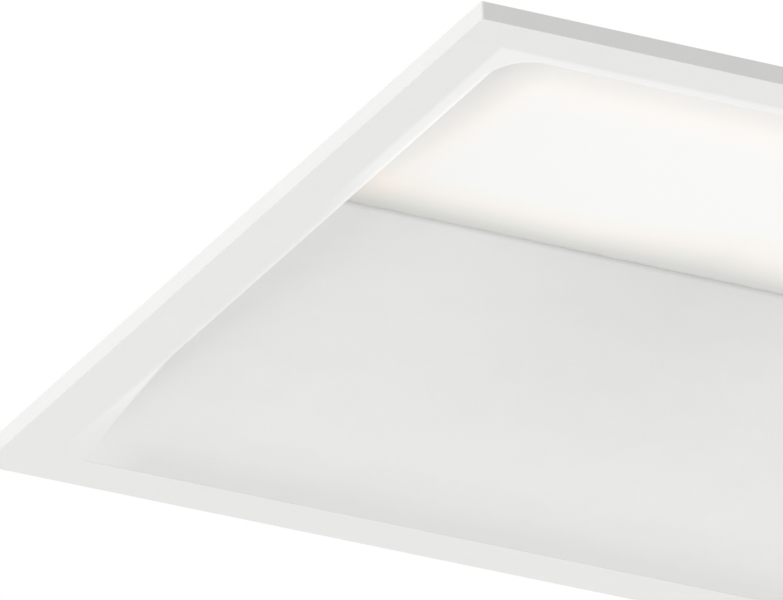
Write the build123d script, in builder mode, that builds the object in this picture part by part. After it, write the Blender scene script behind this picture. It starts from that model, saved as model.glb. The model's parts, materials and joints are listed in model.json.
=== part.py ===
from build123d import *
from math import asin, atan2, cos, degrees, hypot, radians, sin, sqrt, tan
import os

# Square recessed ceiling light, in millimetres.
# The origin is the centre of the rim's room-side face. +Z points up into the ceiling,
# -Y is the lit (near) half and +Y the matt white (far) half.

# Front frame
module_side = 595.0
rim_width = 28.5
frame_sheet = 1.0
skirt_height = 11.0
skirt_corner_radius = 1.5
lip_radius = 13.0
near_corner_radius = 32.0
far_corner_radius = 22.0

# Reflector panel: a haunch bent out of the crease, then a straight slope up to the ridge
panel_angle = 8.2
haunch_run = 45.0
haunch_radius = 270.0
side_wall_width = 22.3
junction_radius = 4.0
hem_run = 3.0
hem_radius = 3.0
hem_flange_height = 15.0
crease_land = 0.6

# Diffuser, its sloping seat and what holds it
seat_rise = 1.2
near_seat_height = 9.0
near_flange_margin = 7.0
side_flange_margin = 1.2
gasket_thickness = 1.0
gasket_width = 3.5
diffuser_overhang = 4.0
diffuser_near_margin = 5.0
diffuser_thickness = 3.0
seal_width = 2.2
retainer_gap = 0.4
retainer_leg_width = 6.0
retainer_lip_width = 4.0
retainer_lip_thickness = 1.5
retainer_screw_count = 5

# Ridge rail
rail_thickness = 1.5
rail_leg_width = 18.0
rail_leg_height = 13.0
rail_rivet_radius = 1.6
rail_rivet_count = 5
rail_spacer_width = 5.0

# Back box: upright walls, then hips that lean in to a smaller roof on the near side and both flanks
housing_side_margin = 27.5
housing_end_margin = 17.5
flank_shoulder_drop = 3.325
flank_hip_run = 37.5
near_shoulder = 19.0
near_hip_run = 98.0
roof_rise = 36.675
housing_sheet = 0.8
housing_corner_radius = 6.0
housing_flange_margin = 5.5
stud_radius = 2.0
stud_length = 8.0
stud_offset = 150.0
nut_width = 7.0
nut_height = 3.2
roof_rib_count = 3
roof_rib_pitch = 35.0
roof_rib_margin = 42.5
roof_rib_width = 14.0
roof_rib_height = 1.5
vent_count = 7
vent_pitch = 56.0
vent_length = 40.0
vent_width = 4.0
vent_drop = 13.0
lug_near_margin = 24.0
lug_far_margin = 40.0
lug_flank_margin = 18.5
lug_width = 20.0
lug_sheet = 1.2
lug_rise = 9.0
lug_hole_radius = 3.0

# Light chamber
plate_overreach = 2.5
plate_near_overreach = 13.0
plate_far_setback = 19.0
plate_thickness = 1.5
plate_drop = 12.0
spacer_radius = 4.0
spacer_margin = 35.0
board_count = 3
board_edge_margin = 12.0
board_margin = 20.0
board_width = 20.0
board_thickness = 1.6
chip_count = 12
chip_margin = 25.25
chip_side = 3.5
chip_height = 0.8
connector_length = 9.0
connector_width = 12.0
connector_height = 5.0
hopper_sheet = 0.8
hopper_margin = 11.0

# Gear tray and lid
opening_margin = 48.5
opening_width = 120.0
opening_setback = 125.0
opening_corner_radius = 6.0
tray_margin = 14.5
tray_width = 134.0
tray_depth = 38.0
tray_lip = 8.0
lid_sheet = 1.0
lid_lift = 0.2
lid_overlap = 6.0
lid_edge_depth = 6.0
lid_edge_gap = 1.5
hinge_offset = 140.0
hinge_axis_setback = 11.0
knuckle_radius = 3.0
knuckle_length = 16.0
knuckle_gap = 0.3
pin_radius = 1.5
pin_length = 34.0
latch_setback = 9.0
latch_shaft_radius = 3.0
latch_knob_radius = 9.0
latch_knob_height = 4.0
cam_reach = 13.5
cam_width = 8.0
cam_thickness = 2.0

# Gear inside the tray
driver_length = 218.0
driver_width = 42.0
driver_height = 28.0
driver_margin = 6.0
driver_terminal_length = 14.0
driver_terminal_height = 12.0
terminal_length = 24.0
terminal_width = 40.0
terminal_height = 16.0
terminal_reach = 53.0
button_count = 3
button_pitch = 10.0
button_side = 6.0
button_travel = 2.0
button_stand = 2.5
button_clearance = 0.2
entry_margin = 29.5
entry_radius = 4.5
grommet_neck_radius = 8.0
grommet_flange_radius = 11.0
grommet_flange = 2.2
grip_reach = 24.0
grip_spacing = 24.0
grip_rise = 9.0
earth_reach = 44.0
earth_setback = 43.0
earth_lead_run = 18.0
lead_radius = 0.9
feed_clearance = 31.0
feed_inside_run = 27.0
feed_outside_run = 23.0
feed_crossing_y = -10.0

# Fasteners and fits
screw_radius = 1.5
screw_head_radius = 2.75
screw_head_height = 2.0
fit_gap = 0.05
fixed_gap = 0.02
face_gap = 0.3

# Values worked out from the ones above
half_side = module_side / 2
opening_half = half_side - rim_width
panel_run = opening_half - hem_run
crease_sine = sin(radians(panel_angle)) + haunch_run / haunch_radius
crease_cosine = sqrt(1 - crease_sine**2)
haunch_rise = haunch_radius * (cos(radians(panel_angle)) - crease_cosine)
ridge_height = haunch_rise + (panel_run - haunch_run) * tan(radians(panel_angle))
junction_half = opening_half - side_wall_width
seat_height = ridge_height + seat_rise
seat_angle = atan2(seat_height - near_seat_height, opening_half)
seat_slope = tan(seat_angle)
housing_top = ridge_height + roof_rise
body_height = housing_top
roof_underside = housing_top - housing_sheet
flank_half = half_side - housing_side_margin
flank_shoulder = ridge_height - flank_shoulder_drop
end_half = half_side - housing_end_margin
roof_half = flank_half - flank_hip_run
roof_near = -(end_half - near_hip_run)
flange_half = half_side - housing_flange_margin
stud_line = (end_half + flange_half) / 2
near_flange_reach = opening_half + near_flange_margin
diffuser_near = -(opening_half - diffuser_near_margin)
diffuser_far = -seal_width - face_gap
diffuser_top = gasket_thickness + diffuser_thickness
retainer_inner = diffuser_overhang + retainer_gap
retainer_outer = retainer_inner + retainer_leg_width
retainer_far = -(rail_leg_width + 2.0)
rail_base = seat_height + diffuser_top + face_gap
plate_underside = housing_top - plate_drop
plate_length = 2 * (roof_half + plate_overreach)
plate_near = roof_near - plate_near_overreach
plate_width = -plate_far_setback - plate_near
plate_centre_y = plate_near + plate_width / 2
board_length = plate_length - 2 * board_margin
board_room = plate_width - 2 * (hopper_margin + board_edge_margin)
board_pitch = (board_room - board_width) / (board_count - 1)
chip_pitch = (board_length - 2 * chip_margin) / (chip_count - 1)
opening_length = 2 * (roof_half - opening_margin)
opening_centre_y = end_half - opening_setback
tray_length = 2 * (roof_half - tray_margin)
entry_x = -(roof_half - entry_margin)
grip_x = entry_x + grip_reach
terminal_x = entry_x + terminal_reach
earth_x = terminal_x + earth_reach
earth_y = opening_centre_y - earth_setback
driver_end = opening_length / 2 - driver_margin
driver_start_x = driver_end - driver_length
feed_run_x = driver_end + feed_clearance
tray_base = housing_top - tray_depth
tray_floor = tray_base + housing_sheet
lid_base = housing_top + lid_lift
hinge_y = opening_centre_y + opening_width / 2 + hinge_axis_setback
hinge_z = lid_base + knuckle_radius
latch_y = opening_centre_y - opening_width / 2 + latch_setback
board_underside = plate_underside - board_thickness
lead_level = tray_floor + 7.2
seat_plane = Plane(
    origin=(0, 0, seat_height),
    x_dir=(1, 0, 0),
    z_dir=(0, -sin(seat_angle), cos(seat_angle)),
)


def panel_height(distance):
    """Height of the panel's face at a distance in from the far crease."""
    if distance >= haunch_run:
        return haunch_rise + (distance - haunch_run) * tan(radians(panel_angle))
    sine = crease_sine - distance / haunch_radius
    return haunch_radius * (sqrt(1 - sine**2) - crease_cosine)


def lip_angle(width, height):
    """Angle of the straight side wall that leaves the lip's arc and ends at this width and height."""
    return atan2(height - lip_radius, width) + asin(lip_radius / hypot(width, height - lip_radius))


def outline_half(distance):
    """Half width of the recess at a distance in from the far crease, with its rounded corner."""
    if distance >= far_corner_radius:
        return opening_half
    rise = far_corner_radius - distance
    return opening_half - far_corner_radius + sqrt(far_corner_radius**2 - rise**2)


def seat_z(y, lift=0.0):
    """Height of the seat plane, lifted square to itself, at a place along Y."""
    return seat_height + y * seat_slope + lift / cos(seat_angle)


def finish(part, name):
    """Names a finished piece and writes it."""
    part.label = name
    export_step(part, f"parts/{name}.step")


os.makedirs("parts", exist_ok=True)

# Front frame and panel
skirt_inside = module_side - 2 * frame_sheet
wall_angle = lip_angle(side_wall_width, ridge_height)
lip_tangent = lip_radius * tan(wall_angle / 2)
wall_foot = opening_half - lip_tangent
wall_back = wall_foot + frame_sheet / sin(wall_angle)
wall_middle = (wall_foot + wall_back) / 2
wall_taper = 90 - degrees(wall_angle)
wall_lean = seat_slope / tan(wall_angle)
wall_overrun = 60.0
panel_slope = tan(radians(panel_angle))
sheet_rise = frame_sheet / cos(radians(panel_angle))
lip_back = lip_radius - frame_sheet
junction_back = junction_radius + frame_sheet
hem_half = junction_half - frame_sheet
hem_top = ridge_height + hem_flange_height
corner_shares = (0.12, 0.3, 0.55, 0.8, 1.0)
slope_shares = (0.0, 0.25, 0.5, 0.75, 1.0)
panel_stations = (
    [crease_land]
    + [far_corner_radius * share for share in corner_shares]
    + [haunch_run + (panel_run - haunch_run) * share for share in slope_shares]
)


def panel_corners(distance, lift):
    """Corners of the pressing's cross-section: rim, wall foot and panel, with a lift for its back."""
    height = panel_height(distance)
    edge = outline_half(distance)
    half_tangent = tan(lip_angle(edge - junction_half, height) / 2)
    lip = edge - (lip_radius - lift) * half_tangent
    junction = junction_half + lift * half_tangent
    half = [(edge + 1, lift), (lip, lift), (junction, height + lift)]
    return [(-x, z) for x, z in half] + half[::-1]


# Diffuser seat
diffuser_edge_break = 0.5
retainer_near = diffuser_near - retainer_gap - retainer_leg_width
retainer_lip_inner = retainer_inner - retainer_lip_width
retainer_line = (retainer_inner + retainer_outer) / 2
retainer_near_line = retainer_near + retainer_leg_width / 2
seal_bottom = seat_height + gasket_thickness
seal_tongue = rail_leg_width - 2.0
seal_clearance = 0.1


def beside_wall(offset, y):
    """Distance from the middle to a line that runs beside the lit half's wall, at a place along Y."""
    return junction_half + offset - y * wall_lean


def seat_outline(offset, near, far):
    """Corners of a sheet on the seat whose sides run beside the walls."""
    near_half = beside_wall(offset, near)
    far_half = beside_wall(offset, far)
    return [(-near_half, near), (near_half, near), (far_half, far), (-far_half, far)]


def side_strip(side, inner, outer, near, far):
    """Corners of a bar that runs beside one wall."""
    reaches = ((inner, near), (outer, near), (outer, far), (inner, far))
    corners = [(side * beside_wall(offset, y), y) for offset, y in reaches]
    return corners if side > 0 else corners[::-1]


def retainer_side_places(side):
    """Screw places along one side bar, in the seat's own plane."""
    first = retainer_near_line
    pitch = (retainer_far - retainer_leg_width - first) / (retainer_screw_count - 1)
    stations = [first + pitch * i for i in range(retainer_screw_count)]
    return [(side * beside_wall(retainer_line, y), y) for y in stations]


near_bar_half = beside_wall(retainer_lip_inner, diffuser_near + retainer_lip_width) - face_gap
retainer_near_places = [
    (2 * near_bar_half * (i / (retainer_screw_count + 1) - 0.5), retainer_near_line)
    for i in range(1, retainer_screw_count + 1)
]
retainer_screw_places = retainer_side_places(-1) + retainer_side_places(1) + retainer_near_places
spacer_inner = beside_wall(diffuser_overhang, -rail_leg_width) + retainer_gap
rail_half = spacer_inner + rail_spacer_width
rail_screw_x = (spacer_inner + rail_half) / 2
rail_screw_places = [(side * rail_screw_x, -rail_leg_width / 2) for side in (-1, 1)]
rail_rivet_height = rail_base + rail_leg_height / 2 + rail_thickness / 2
rail_rivet_places = [
    (2 * hem_half * (i / (rail_rivet_count + 1) - 0.5), rail_rivet_height)
    for i in range(1, rail_rivet_count + 1)
]

# Housing
stud_places = [(x, y) for x in (-stud_line, stud_line) for y in (-stud_offset, stud_offset)]
stud_places += [(y, x) for x, y in stud_places]
roof_rib_length = 2 * (roof_half - roof_rib_margin)
roof_rib_places = [
    (0, plate_centre_y + roof_rib_pitch * (i - (roof_rib_count - 1) / 2)) for i in range(roof_rib_count)
]
vent_height = roof_underside - vent_drop
lug_half = roof_half - lug_flank_margin
lug_near = roof_near + lug_near_margin
lug_far = end_half - lug_far_margin
lug_span = lug_far - lug_near
lug_centre_y = (lug_near + lug_far) / 2


def flank_profile(inset):
    """Cross-section of the back box through both flanks, set in by a distance square to its sheets."""
    slope = (housing_top - flank_shoulder) / flank_hip_run
    wall = flank_half - inset
    roof = housing_top - inset
    drop = inset * hypot(1, slope)
    shoulder = flank_shoulder + slope * inset - drop
    edge = flank_half - (roof - flank_shoulder + drop) / slope
    return [(-wall, 0), (wall, 0), (wall, shoulder), (edge, roof), (-edge, roof), (-wall, shoulder)]


def end_profile(inset):
    """Cross-section of the back box from its near hip to its far wall, set in in the same way."""
    slope = (housing_top - near_shoulder) / near_hip_run
    wall = end_half - inset
    roof = housing_top - inset
    drop = inset * hypot(1, slope)
    shoulder = near_shoulder + slope * inset - drop
    edge = end_half - (roof - near_shoulder + drop) / slope
    return [(-wall, 0), (wall, 0), (wall, roof), (-edge, roof), (-wall, shoulder)]


# Light chamber
board_centres = [plate_centre_y + board_pitch * (i - (board_count - 1) / 2) for i in range(board_count)]
spacer_pitch_x = plate_length / 2 - spacer_margin
board_screw_pitch = (board_length - 6 * spacer_radius) / 2
board_screw_places = [(board_screw_pitch * i, y) for i in (-1, 0, 1) for y in board_centres]
connector_x = (board_length - connector_length) / 2
connector_places = [(connector_x, y) for y in board_centres] + [(-connector_x, y) for y in board_centres[1:]]
connector_level = board_underside - connector_height / 2
hopper_wall = 2 * hopper_sheet
hopper_top_length = plate_length - 2 * hopper_margin
hopper_top_width = plate_width - 2 * hopper_margin
hopper_side = retainer_lip_inner - 2 * hopper_sheet - 1.0
hopper_near = retainer_near + retainer_leg_width + retainer_lip_width + 2 * hopper_sheet + 1.0
hopper_far = retainer_far - 2 * hopper_sheet
feed_x = board_length / 2 + 5.0
feed_hole_radius = 6.0
feed_level = tray_floor + 12.2
lead_pair = 1.5
link_reach = 5.5

# Gear tray and gear
grip_places = [(grip_x, opening_centre_y - grip_spacing / 2), (grip_x, opening_centre_y + grip_spacing / 2)]
button_places = [
    (terminal_x, opening_centre_y + button_pitch * (i - (button_count - 1) / 2)) for i in range(button_count)
]
button_well = 9.0
driver_ear = 8.0
driver_centre_x = driver_start_x + driver_length / 2
driver_cover_length = driver_length - 2 * driver_terminal_length - 2 * face_gap
driver_screw_places = [
    (driver_centre_x - driver_length / 2 - driver_ear / 2, opening_centre_y),
    (driver_centre_x + driver_length / 2 + driver_ear / 2, opening_centre_y),
]
grip_top = tray_floor + grip_rise + screw_head_height
ear_top = tray_floor + housing_sheet
board_stand = 3.0
driver_board_base = tray_floor + housing_sheet + board_stand
driver_part_height = 17.0
driver_blocks = ((-0.3, 22.0, 26.0), (0.08, 34.0, 30.0), (0.32, 18.0, 24.0))
driver_cans = ((-0.17, 8.0), (-0.09, 6.0), (0.2, 7.0))
earth_tag_length = 7.0
washer_teeth = 12
lead_bend = 3.0

# Lid and latch
lid_near = opening_centre_y - opening_width / 2 - lid_overlap
lid_far = opening_centre_y + opening_width / 2 + lid_overlap - 1.0
lid_edge_length = opening_length - 2 * lid_edge_gap
lid_edge_width = opening_width - lid_edge_gap
lid_edge_radius = opening_corner_radius - lid_edge_gap
cam_base = roof_underside - cam_thickness - 0.4
leaf_width = 12.0
leaf_reach = knuckle_radius + leaf_width / 2
leaf_knuckle_length = (pin_length - knuckle_length) / 2 - knuckle_gap


def leaf_centres(hinge_x):
    """Centres of the two fixed knuckles of a hinge, along X."""
    reach = knuckle_length / 2 + knuckle_gap + leaf_knuckle_length / 2
    return hinge_x - reach, hinge_x + reach


# Lead routes, as points along each lead
terminal_face = terminal_x + terminal_length / 2
driver_lead_level = driver_board_base + board_thickness + driver_terminal_height / 2
mains_run = driver_start_x - terminal_face
mains_routes = [
    [
        (terminal_face, opening_centre_y + offset, lead_level),
        (terminal_face + 0.25 * mains_run, opening_centre_y + offset, lead_level),
        (terminal_face + 0.55 * mains_run, opening_centre_y + 0.9 * offset, lead_level + 3),
        (driver_start_x - 0.25 * mains_run, opening_centre_y + 0.6 * offset, driver_lead_level),
        (driver_start_x, opening_centre_y + 0.6 * offset, driver_lead_level),
    ]
    for offset in (0.0, button_pitch)
]
earth_route = [
    (terminal_face, opening_centre_y - button_pitch, lead_level),
    (terminal_face + 14, opening_centre_y - button_pitch, lead_level),
    (earth_x, opening_centre_y - earth_lead_run, lead_level - 2),
    (earth_x, earth_y + earth_lead_run, tray_floor + lead_radius),
    (earth_x, earth_y + earth_tag_length - 1, tray_floor + lead_radius),
]
tray_near = opening_centre_y - tray_width / 2
plate_run_level = plate_underside + plate_thickness + lead_radius + 0.1
feed_routes = [
    [
        (driver_end, opening_centre_y + offset, driver_lead_level),
        (feed_run_x + offset, opening_centre_y + offset, driver_lead_level),
        (feed_run_x + offset, tray_near + feed_inside_run, feed_level),
        (feed_run_x + offset, tray_near - feed_outside_run, feed_level),
        (feed_x + offset, feed_crossing_y, plate_run_level),
        (feed_x + offset, board_centres[-1] - offset, plate_run_level),
        (feed_x + offset, board_centres[-1] - offset, connector_level),
        (board_length / 2, board_centres[-1] - offset, connector_level),
    ]
    for offset in (-lead_pair, lead_pair)
]
link_routes = [
    [
        (side * board_length / 2, start_y + offset, connector_level),
        (side * (board_length / 2 + link_reach + offset), start_y + offset, connector_level),
        (side * (board_length / 2 + link_reach + offset), end_y - offset, connector_level),
        (side * board_length / 2, end_y - offset, connector_level),
    ]
    for side, start_y, end_y in (
        (1, board_centres[1], board_centres[0]),
        (-1, board_centres[2], board_centres[1]),
    )
    for offset in (-lead_pair, lead_pair)
]


# Front frame: pressed steel rim with its skirt, rolled lip, lit-half walls and sloping seat
near_corner = near_corner_radius - lip_tangent

with BuildPart() as wall_void:
    with BuildSketch():
        with Locations((0, (wall_overrun - wall_foot) / 2)):
            RectangleRounded(2 * wall_foot, wall_foot + wall_overrun, near_corner)
    extrude(amount=body_height, taper=wall_taper)

with BuildPart() as wall_plug:
    with BuildSketch():
        with Locations((0, (wall_overrun - wall_back) / 2)):
            RectangleRounded(2 * wall_back, wall_back + wall_overrun, near_corner + wall_back - wall_foot)
    extrude(amount=body_height, taper=wall_taper)

with BuildPart() as frame_hollow:
    with BuildSketch(Plane.XY.offset(frame_sheet)):
        Rectangle(skirt_inside, skirt_inside)
    extrude(amount=body_height)
    add(wall_plug.part, mode=Mode.SUBTRACT)
    fillet(faces().sort_by(Axis.Z)[0].inner_wires()[0].edges(), lip_radius - frame_sheet)
    with BuildSketch(Plane.XY.offset(frame_sheet)):
        with Locations((0, (hem_run + skirt_inside / 2) / 2)):
            Rectangle(skirt_inside, skirt_inside / 2 - hem_run)
    extrude(amount=body_height)

with BuildPart() as recess_prism:
    with BuildSketch():
        with Locations((0, (opening_half + hem_run) / 2)):
            Rectangle(2 * opening_half, opening_half - hem_run)
        fillet(vertices().group_by(Axis.Y)[-1], far_corner_radius)
        with Locations((0, opening_half)):
            Rectangle(2 * opening_half, 2 * crease_land, mode=Mode.SUBTRACT)
    extrude(amount=body_height)

with BuildPart() as seat_flange:
    with BuildSketch(seat_plane):
        Polygon(*seat_outline(retainer_outer + side_flange_margin, -near_flange_reach, 0), align=None)
    extrude(amount=-frame_sheet)
    with BuildSketch():
        with Locations((0, (wall_overrun - wall_middle) / 2)):
            RectangleRounded(2 * wall_middle, wall_middle + wall_overrun,
                             near_corner + wall_middle - wall_foot)
    extrude(amount=body_height, taper=wall_taper, mode=Mode.SUBTRACT)

with BuildPart() as front_frame:
    with BuildSketch():
        RectangleRounded(module_side, module_side, skirt_corner_radius)
    extrude(amount=body_height)
    add(wall_void.part, mode=Mode.SUBTRACT)
    fillet(faces().sort_by(Axis.Z)[0].inner_wires()[0].edges(), lip_radius)
    add(recess_prism.part, mode=Mode.SUBTRACT)
    add(frame_hollow.part, mode=Mode.SUBTRACT)
    with BuildSketch(Plane.XY.offset(skirt_height)):
        Rectangle(2 * module_side, 2 * module_side)
        Rectangle(2 * near_flange_reach, 2 * near_flange_reach, mode=Mode.SUBTRACT)
    extrude(amount=body_height, mode=Mode.SUBTRACT)
    with BuildSketch(seat_plane):
        Rectangle(2 * end_half, 2 * end_half)
    extrude(amount=body_height, mode=Mode.SUBTRACT)
    add(seat_flange.part)
    with BuildSketch(seat_plane.offset(-frame_sheet)):
        with Locations(*retainer_screw_places):
            Circle(screw_radius + fit_gap)
    extrude(amount=frame_sheet, mode=Mode.SUBTRACT)
    with BuildSketch(Plane.XY.offset(seat_z(-rail_leg_width) - 5 * frame_sheet)):
        with Locations(*rail_screw_places):
            Circle(screw_radius + fit_gap)
    extrude(amount=body_height, mode=Mode.SUBTRACT)
finish(front_frame.part, "front_frame")


# Reflector panel: one pressing with its side walls, haunch and rolled hem along the ridge
with BuildPart() as reflector_panel:
    for distance in panel_stations:
        with BuildSketch(Plane(origin=(0, opening_half - distance, 0), x_dir=(1, 0, 0), z_dir=(0, -1, 0))):
            with BuildLine():
                face = FilletPolyline(
                    panel_corners(distance, 0.0),
                    radius=(lip_radius, junction_radius, junction_radius, lip_radius),
                )
                back = FilletPolyline(
                    panel_corners(distance, frame_sheet),
                    radius=(lip_back, junction_back, junction_back, lip_back),
                )
                Line(face @ 0, back @ 0)
                Line(face @ 1, back @ 1)
            make_face()
    loft(ruled=True)
    add(recess_prism.part, mode=Mode.INTERSECT)
    with BuildSketch(Plane.YZ):
        with BuildLine():
            hem_face = FilletPolyline(
                (2 * hem_run, ridge_height - hem_run * panel_slope),
                (0, ridge_height + hem_run * panel_slope),
                (0, hem_top),
                radius=[hem_radius],
            )
            hem_back = FilletPolyline(
                (2 * hem_run, ridge_height - hem_run * panel_slope + sheet_rise),
                (frame_sheet, ridge_height + (hem_run - frame_sheet) * panel_slope + sheet_rise),
                (frame_sheet, hem_top),
                radius=[hem_radius - frame_sheet],
            )
            Line(hem_face @ 0, hem_back @ 0)
            Line(hem_face @ 1, hem_back @ 1)
        make_face()
    extrude(amount=hem_half, both=True)
    with BuildSketch(Plane.XZ):
        with Locations(*rail_rivet_places):
            Circle(rail_rivet_radius + fixed_gap)
    extrude(amount=-2 * frame_sheet, mode=Mode.SUBTRACT)
finish(reflector_panel.part, "reflector_panel")


# Diffuser and its gasket, on the sloping seat
with BuildPart() as diffuser_gasket:
    with BuildSketch(seat_plane):
        Polygon(*seat_outline(diffuser_overhang, diffuser_near, diffuser_far), align=None)
        Polygon(
            *seat_outline(diffuser_overhang - gasket_width, diffuser_near + gasket_width, gasket_width),
            align=None,
            mode=Mode.SUBTRACT,
        )
    extrude(amount=gasket_thickness)
finish(diffuser_gasket.part, "diffuser_gasket")

with BuildPart() as diffuser:
    with BuildSketch(seat_plane.offset(gasket_thickness)):
        Polygon(*seat_outline(diffuser_overhang, diffuser_near, diffuser_far), align=None)
        fillet(vertices(), diffuser_thickness)
    extrude(amount=diffuser_thickness)
    chamfer(edges().group_by(Axis.Z)[-1], diffuser_edge_break)
finish(diffuser.part, "diffuser")

# Retainers: L-bars screwed to the seat, with a lip over the diffuser's edge
with BuildPart() as retainer_left:
    with BuildSketch(seat_plane):
        Polygon(*side_strip(-1, retainer_inner, retainer_outer, retainer_near, retainer_far), align=None)
    extrude(amount=diffuser_top)
    with BuildSketch(seat_plane.offset(diffuser_top)):
        Polygon(*side_strip(-1, retainer_lip_inner, retainer_outer, retainer_near, retainer_far), align=None)
    extrude(amount=retainer_lip_thickness)
    with BuildSketch(seat_plane):
        with Locations(*retainer_side_places(-1)):
            Circle(screw_radius + fit_gap)
    extrude(amount=2 * diffuser_top, mode=Mode.SUBTRACT)
finish(retainer_left.part, "retainer_left")

with BuildPart() as retainer_right:
    add(mirror(retainer_left.part, about=Plane.YZ, mode=Mode.PRIVATE))
finish(retainer_right.part, "retainer_right")

with BuildPart() as retainer_near_bar:
    with BuildSketch(seat_plane):
        with Locations((0, retainer_near + retainer_leg_width / 2)):
            Rectangle(2 * near_bar_half, retainer_leg_width)
    extrude(amount=diffuser_top)
    with BuildSketch(seat_plane.offset(diffuser_top)):
        with Locations((0, retainer_near + (retainer_leg_width + retainer_lip_width) / 2)):
            Rectangle(2 * near_bar_half, retainer_leg_width + retainer_lip_width)
    extrude(amount=retainer_lip_thickness)
    with BuildSketch(seat_plane):
        with Locations(*retainer_near_places):
            Circle(screw_radius + fit_gap)
    extrude(amount=2 * diffuser_top, mode=Mode.SUBTRACT)
finish(retainer_near_bar.part, "retainer_near")

with BuildPart() as retainer_screws:
    with BuildSketch(seat_plane.offset(-2 * frame_sheet)):
        with Locations(*retainer_screw_places):
            Circle(screw_radius)
    extrude(amount=2 * frame_sheet + diffuser_top + retainer_lip_thickness)
    with BuildSketch(seat_plane.offset(diffuser_top + retainer_lip_thickness)):
        with Locations(*retainer_screw_places):
            Circle(screw_head_radius)
    extrude(amount=screw_head_height)
finish(retainer_screws.part, "retainer_screws")


# Ridge rail: angle bar along the ridge, riveted to the panel's hem and standing on two spacers
with BuildPart() as ridge_rail:
    with BuildSketch(Plane.YZ):
        with BuildLine():
            Polyline(
                (0, rail_base),
                (0, rail_base + rail_leg_height),
                (-rail_thickness, rail_base + rail_leg_height),
                (-rail_thickness, rail_base + rail_thickness),
                (-rail_leg_width, rail_base + rail_thickness),
                (-rail_leg_width, rail_base),
                close=True,
            )
        make_face()
    extrude(amount=hem_half, both=True)
    with BuildSketch(Plane.XY.offset(rail_base)):
        with Locations((0, -rail_leg_width / 2)):
            Rectangle(2 * rail_half, rail_leg_width)
    extrude(amount=rail_thickness)
    with BuildSketch(Plane.XY.offset(rail_base)):
        with Locations(*rail_screw_places):
            Circle(screw_radius + fit_gap)
    extrude(amount=rail_thickness, mode=Mode.SUBTRACT)
    with BuildSketch(Plane.XZ):
        with Locations(*rail_rivet_places):
            Circle(rail_rivet_radius + fixed_gap)
    extrude(amount=2 * rail_thickness, mode=Mode.SUBTRACT)
finish(ridge_rail.part, "ridge_rail")

with BuildPart() as ridge_seal:
    with BuildSketch(Plane.YZ):
        with BuildLine():
            Polyline(
                (0, seal_bottom),
                (0, rail_base),
                (-seal_tongue, rail_base),
                (-seal_tongue, seat_z(-seal_tongue, diffuser_top) + seal_clearance),
                (-seal_width, seat_z(-seal_width, diffuser_top) + seal_clearance),
                (-seal_width, seal_bottom),
                close=True,
            )
        make_face()
    extrude(amount=hem_half, both=True)
finish(ridge_seal.part, "ridge_seal")

with BuildPart() as rail_spacers:
    for side in (-1, 1):
        with BuildSketch(Plane.YZ.offset(side * rail_screw_x)):
            with BuildLine():
                Polyline(
                    (-face_gap, seat_z(-face_gap)),
                    (-face_gap, rail_base),
                    (-rail_leg_width, rail_base),
                    (-rail_leg_width, seat_z(-rail_leg_width)),
                    close=True,
                )
            make_face()
        extrude(amount=rail_spacer_width / 2, both=True)
    with BuildSketch():
        with Locations(*rail_screw_places):
            Circle(screw_radius + fit_gap)
    extrude(amount=body_height, mode=Mode.SUBTRACT)
finish(rail_spacers.part, "rail_spacers")

with BuildPart() as rail_screws:
    with BuildSketch(Plane.XY.offset(rail_base + rail_thickness)):
        with Locations(*rail_screw_places):
            Circle(screw_head_radius)
    extrude(amount=screw_head_height)
    with BuildSketch(Plane.XY.offset(rail_base + rail_thickness)):
        with Locations(*rail_screw_places):
            Circle(screw_radius)
    extrude(amount=-(rail_base + rail_thickness - seat_z(-rail_leg_width / 2) + 3 * frame_sheet))
finish(rail_screws.part, "rail_screws")

with BuildPart() as ridge_rivets:
    with BuildSketch(Plane.XZ.offset(rail_thickness)):
        with Locations(*rail_rivet_places):
            Circle(2 * rail_rivet_radius)
    extrude(amount=frame_sheet)
    with BuildSketch(Plane.XZ.offset(rail_thickness)):
        with Locations(*rail_rivet_places):
            Circle(rail_rivet_radius)
    extrude(amount=-(rail_thickness + frame_sheet))
    with BuildSketch(Plane.XZ.offset(-frame_sheet)):
        with Locations(*rail_rivet_places):
            Circle(1.5 * rail_rivet_radius)
    extrude(amount=-frame_sheet)
finish(ridge_rivets.part, "ridge_rivets")


# Housing: folded and hipped back box with its foot flange, roof opening, ribs, vents and cable entry
with BuildPart() as housing_body:
    with BuildSketch(Plane.XY.offset(frame_sheet)):
        RectangleRounded(2 * flank_half, 2 * end_half, housing_corner_radius)
    extrude(amount=housing_top - frame_sheet)
    with BuildSketch(Plane.XZ):
        Polygon(*flank_profile(0), align=None)
    extrude(amount=module_side, both=True, mode=Mode.INTERSECT)
    with BuildSketch(Plane.YZ):
        Polygon(*end_profile(0), align=None)
    extrude(amount=module_side, both=True, mode=Mode.INTERSECT)

with BuildPart() as housing_void:
    with BuildSketch():
        RectangleRounded(2 * (flank_half - housing_sheet), 2 * (end_half - housing_sheet),
                         housing_corner_radius - housing_sheet)
    extrude(amount=roof_underside)
    with BuildSketch(Plane.XZ):
        Polygon(*flank_profile(housing_sheet), align=None)
    extrude(amount=module_side, both=True, mode=Mode.INTERSECT)
    with BuildSketch(Plane.YZ):
        Polygon(*end_profile(housing_sheet), align=None)
    extrude(amount=module_side, both=True, mode=Mode.INTERSECT)

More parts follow.
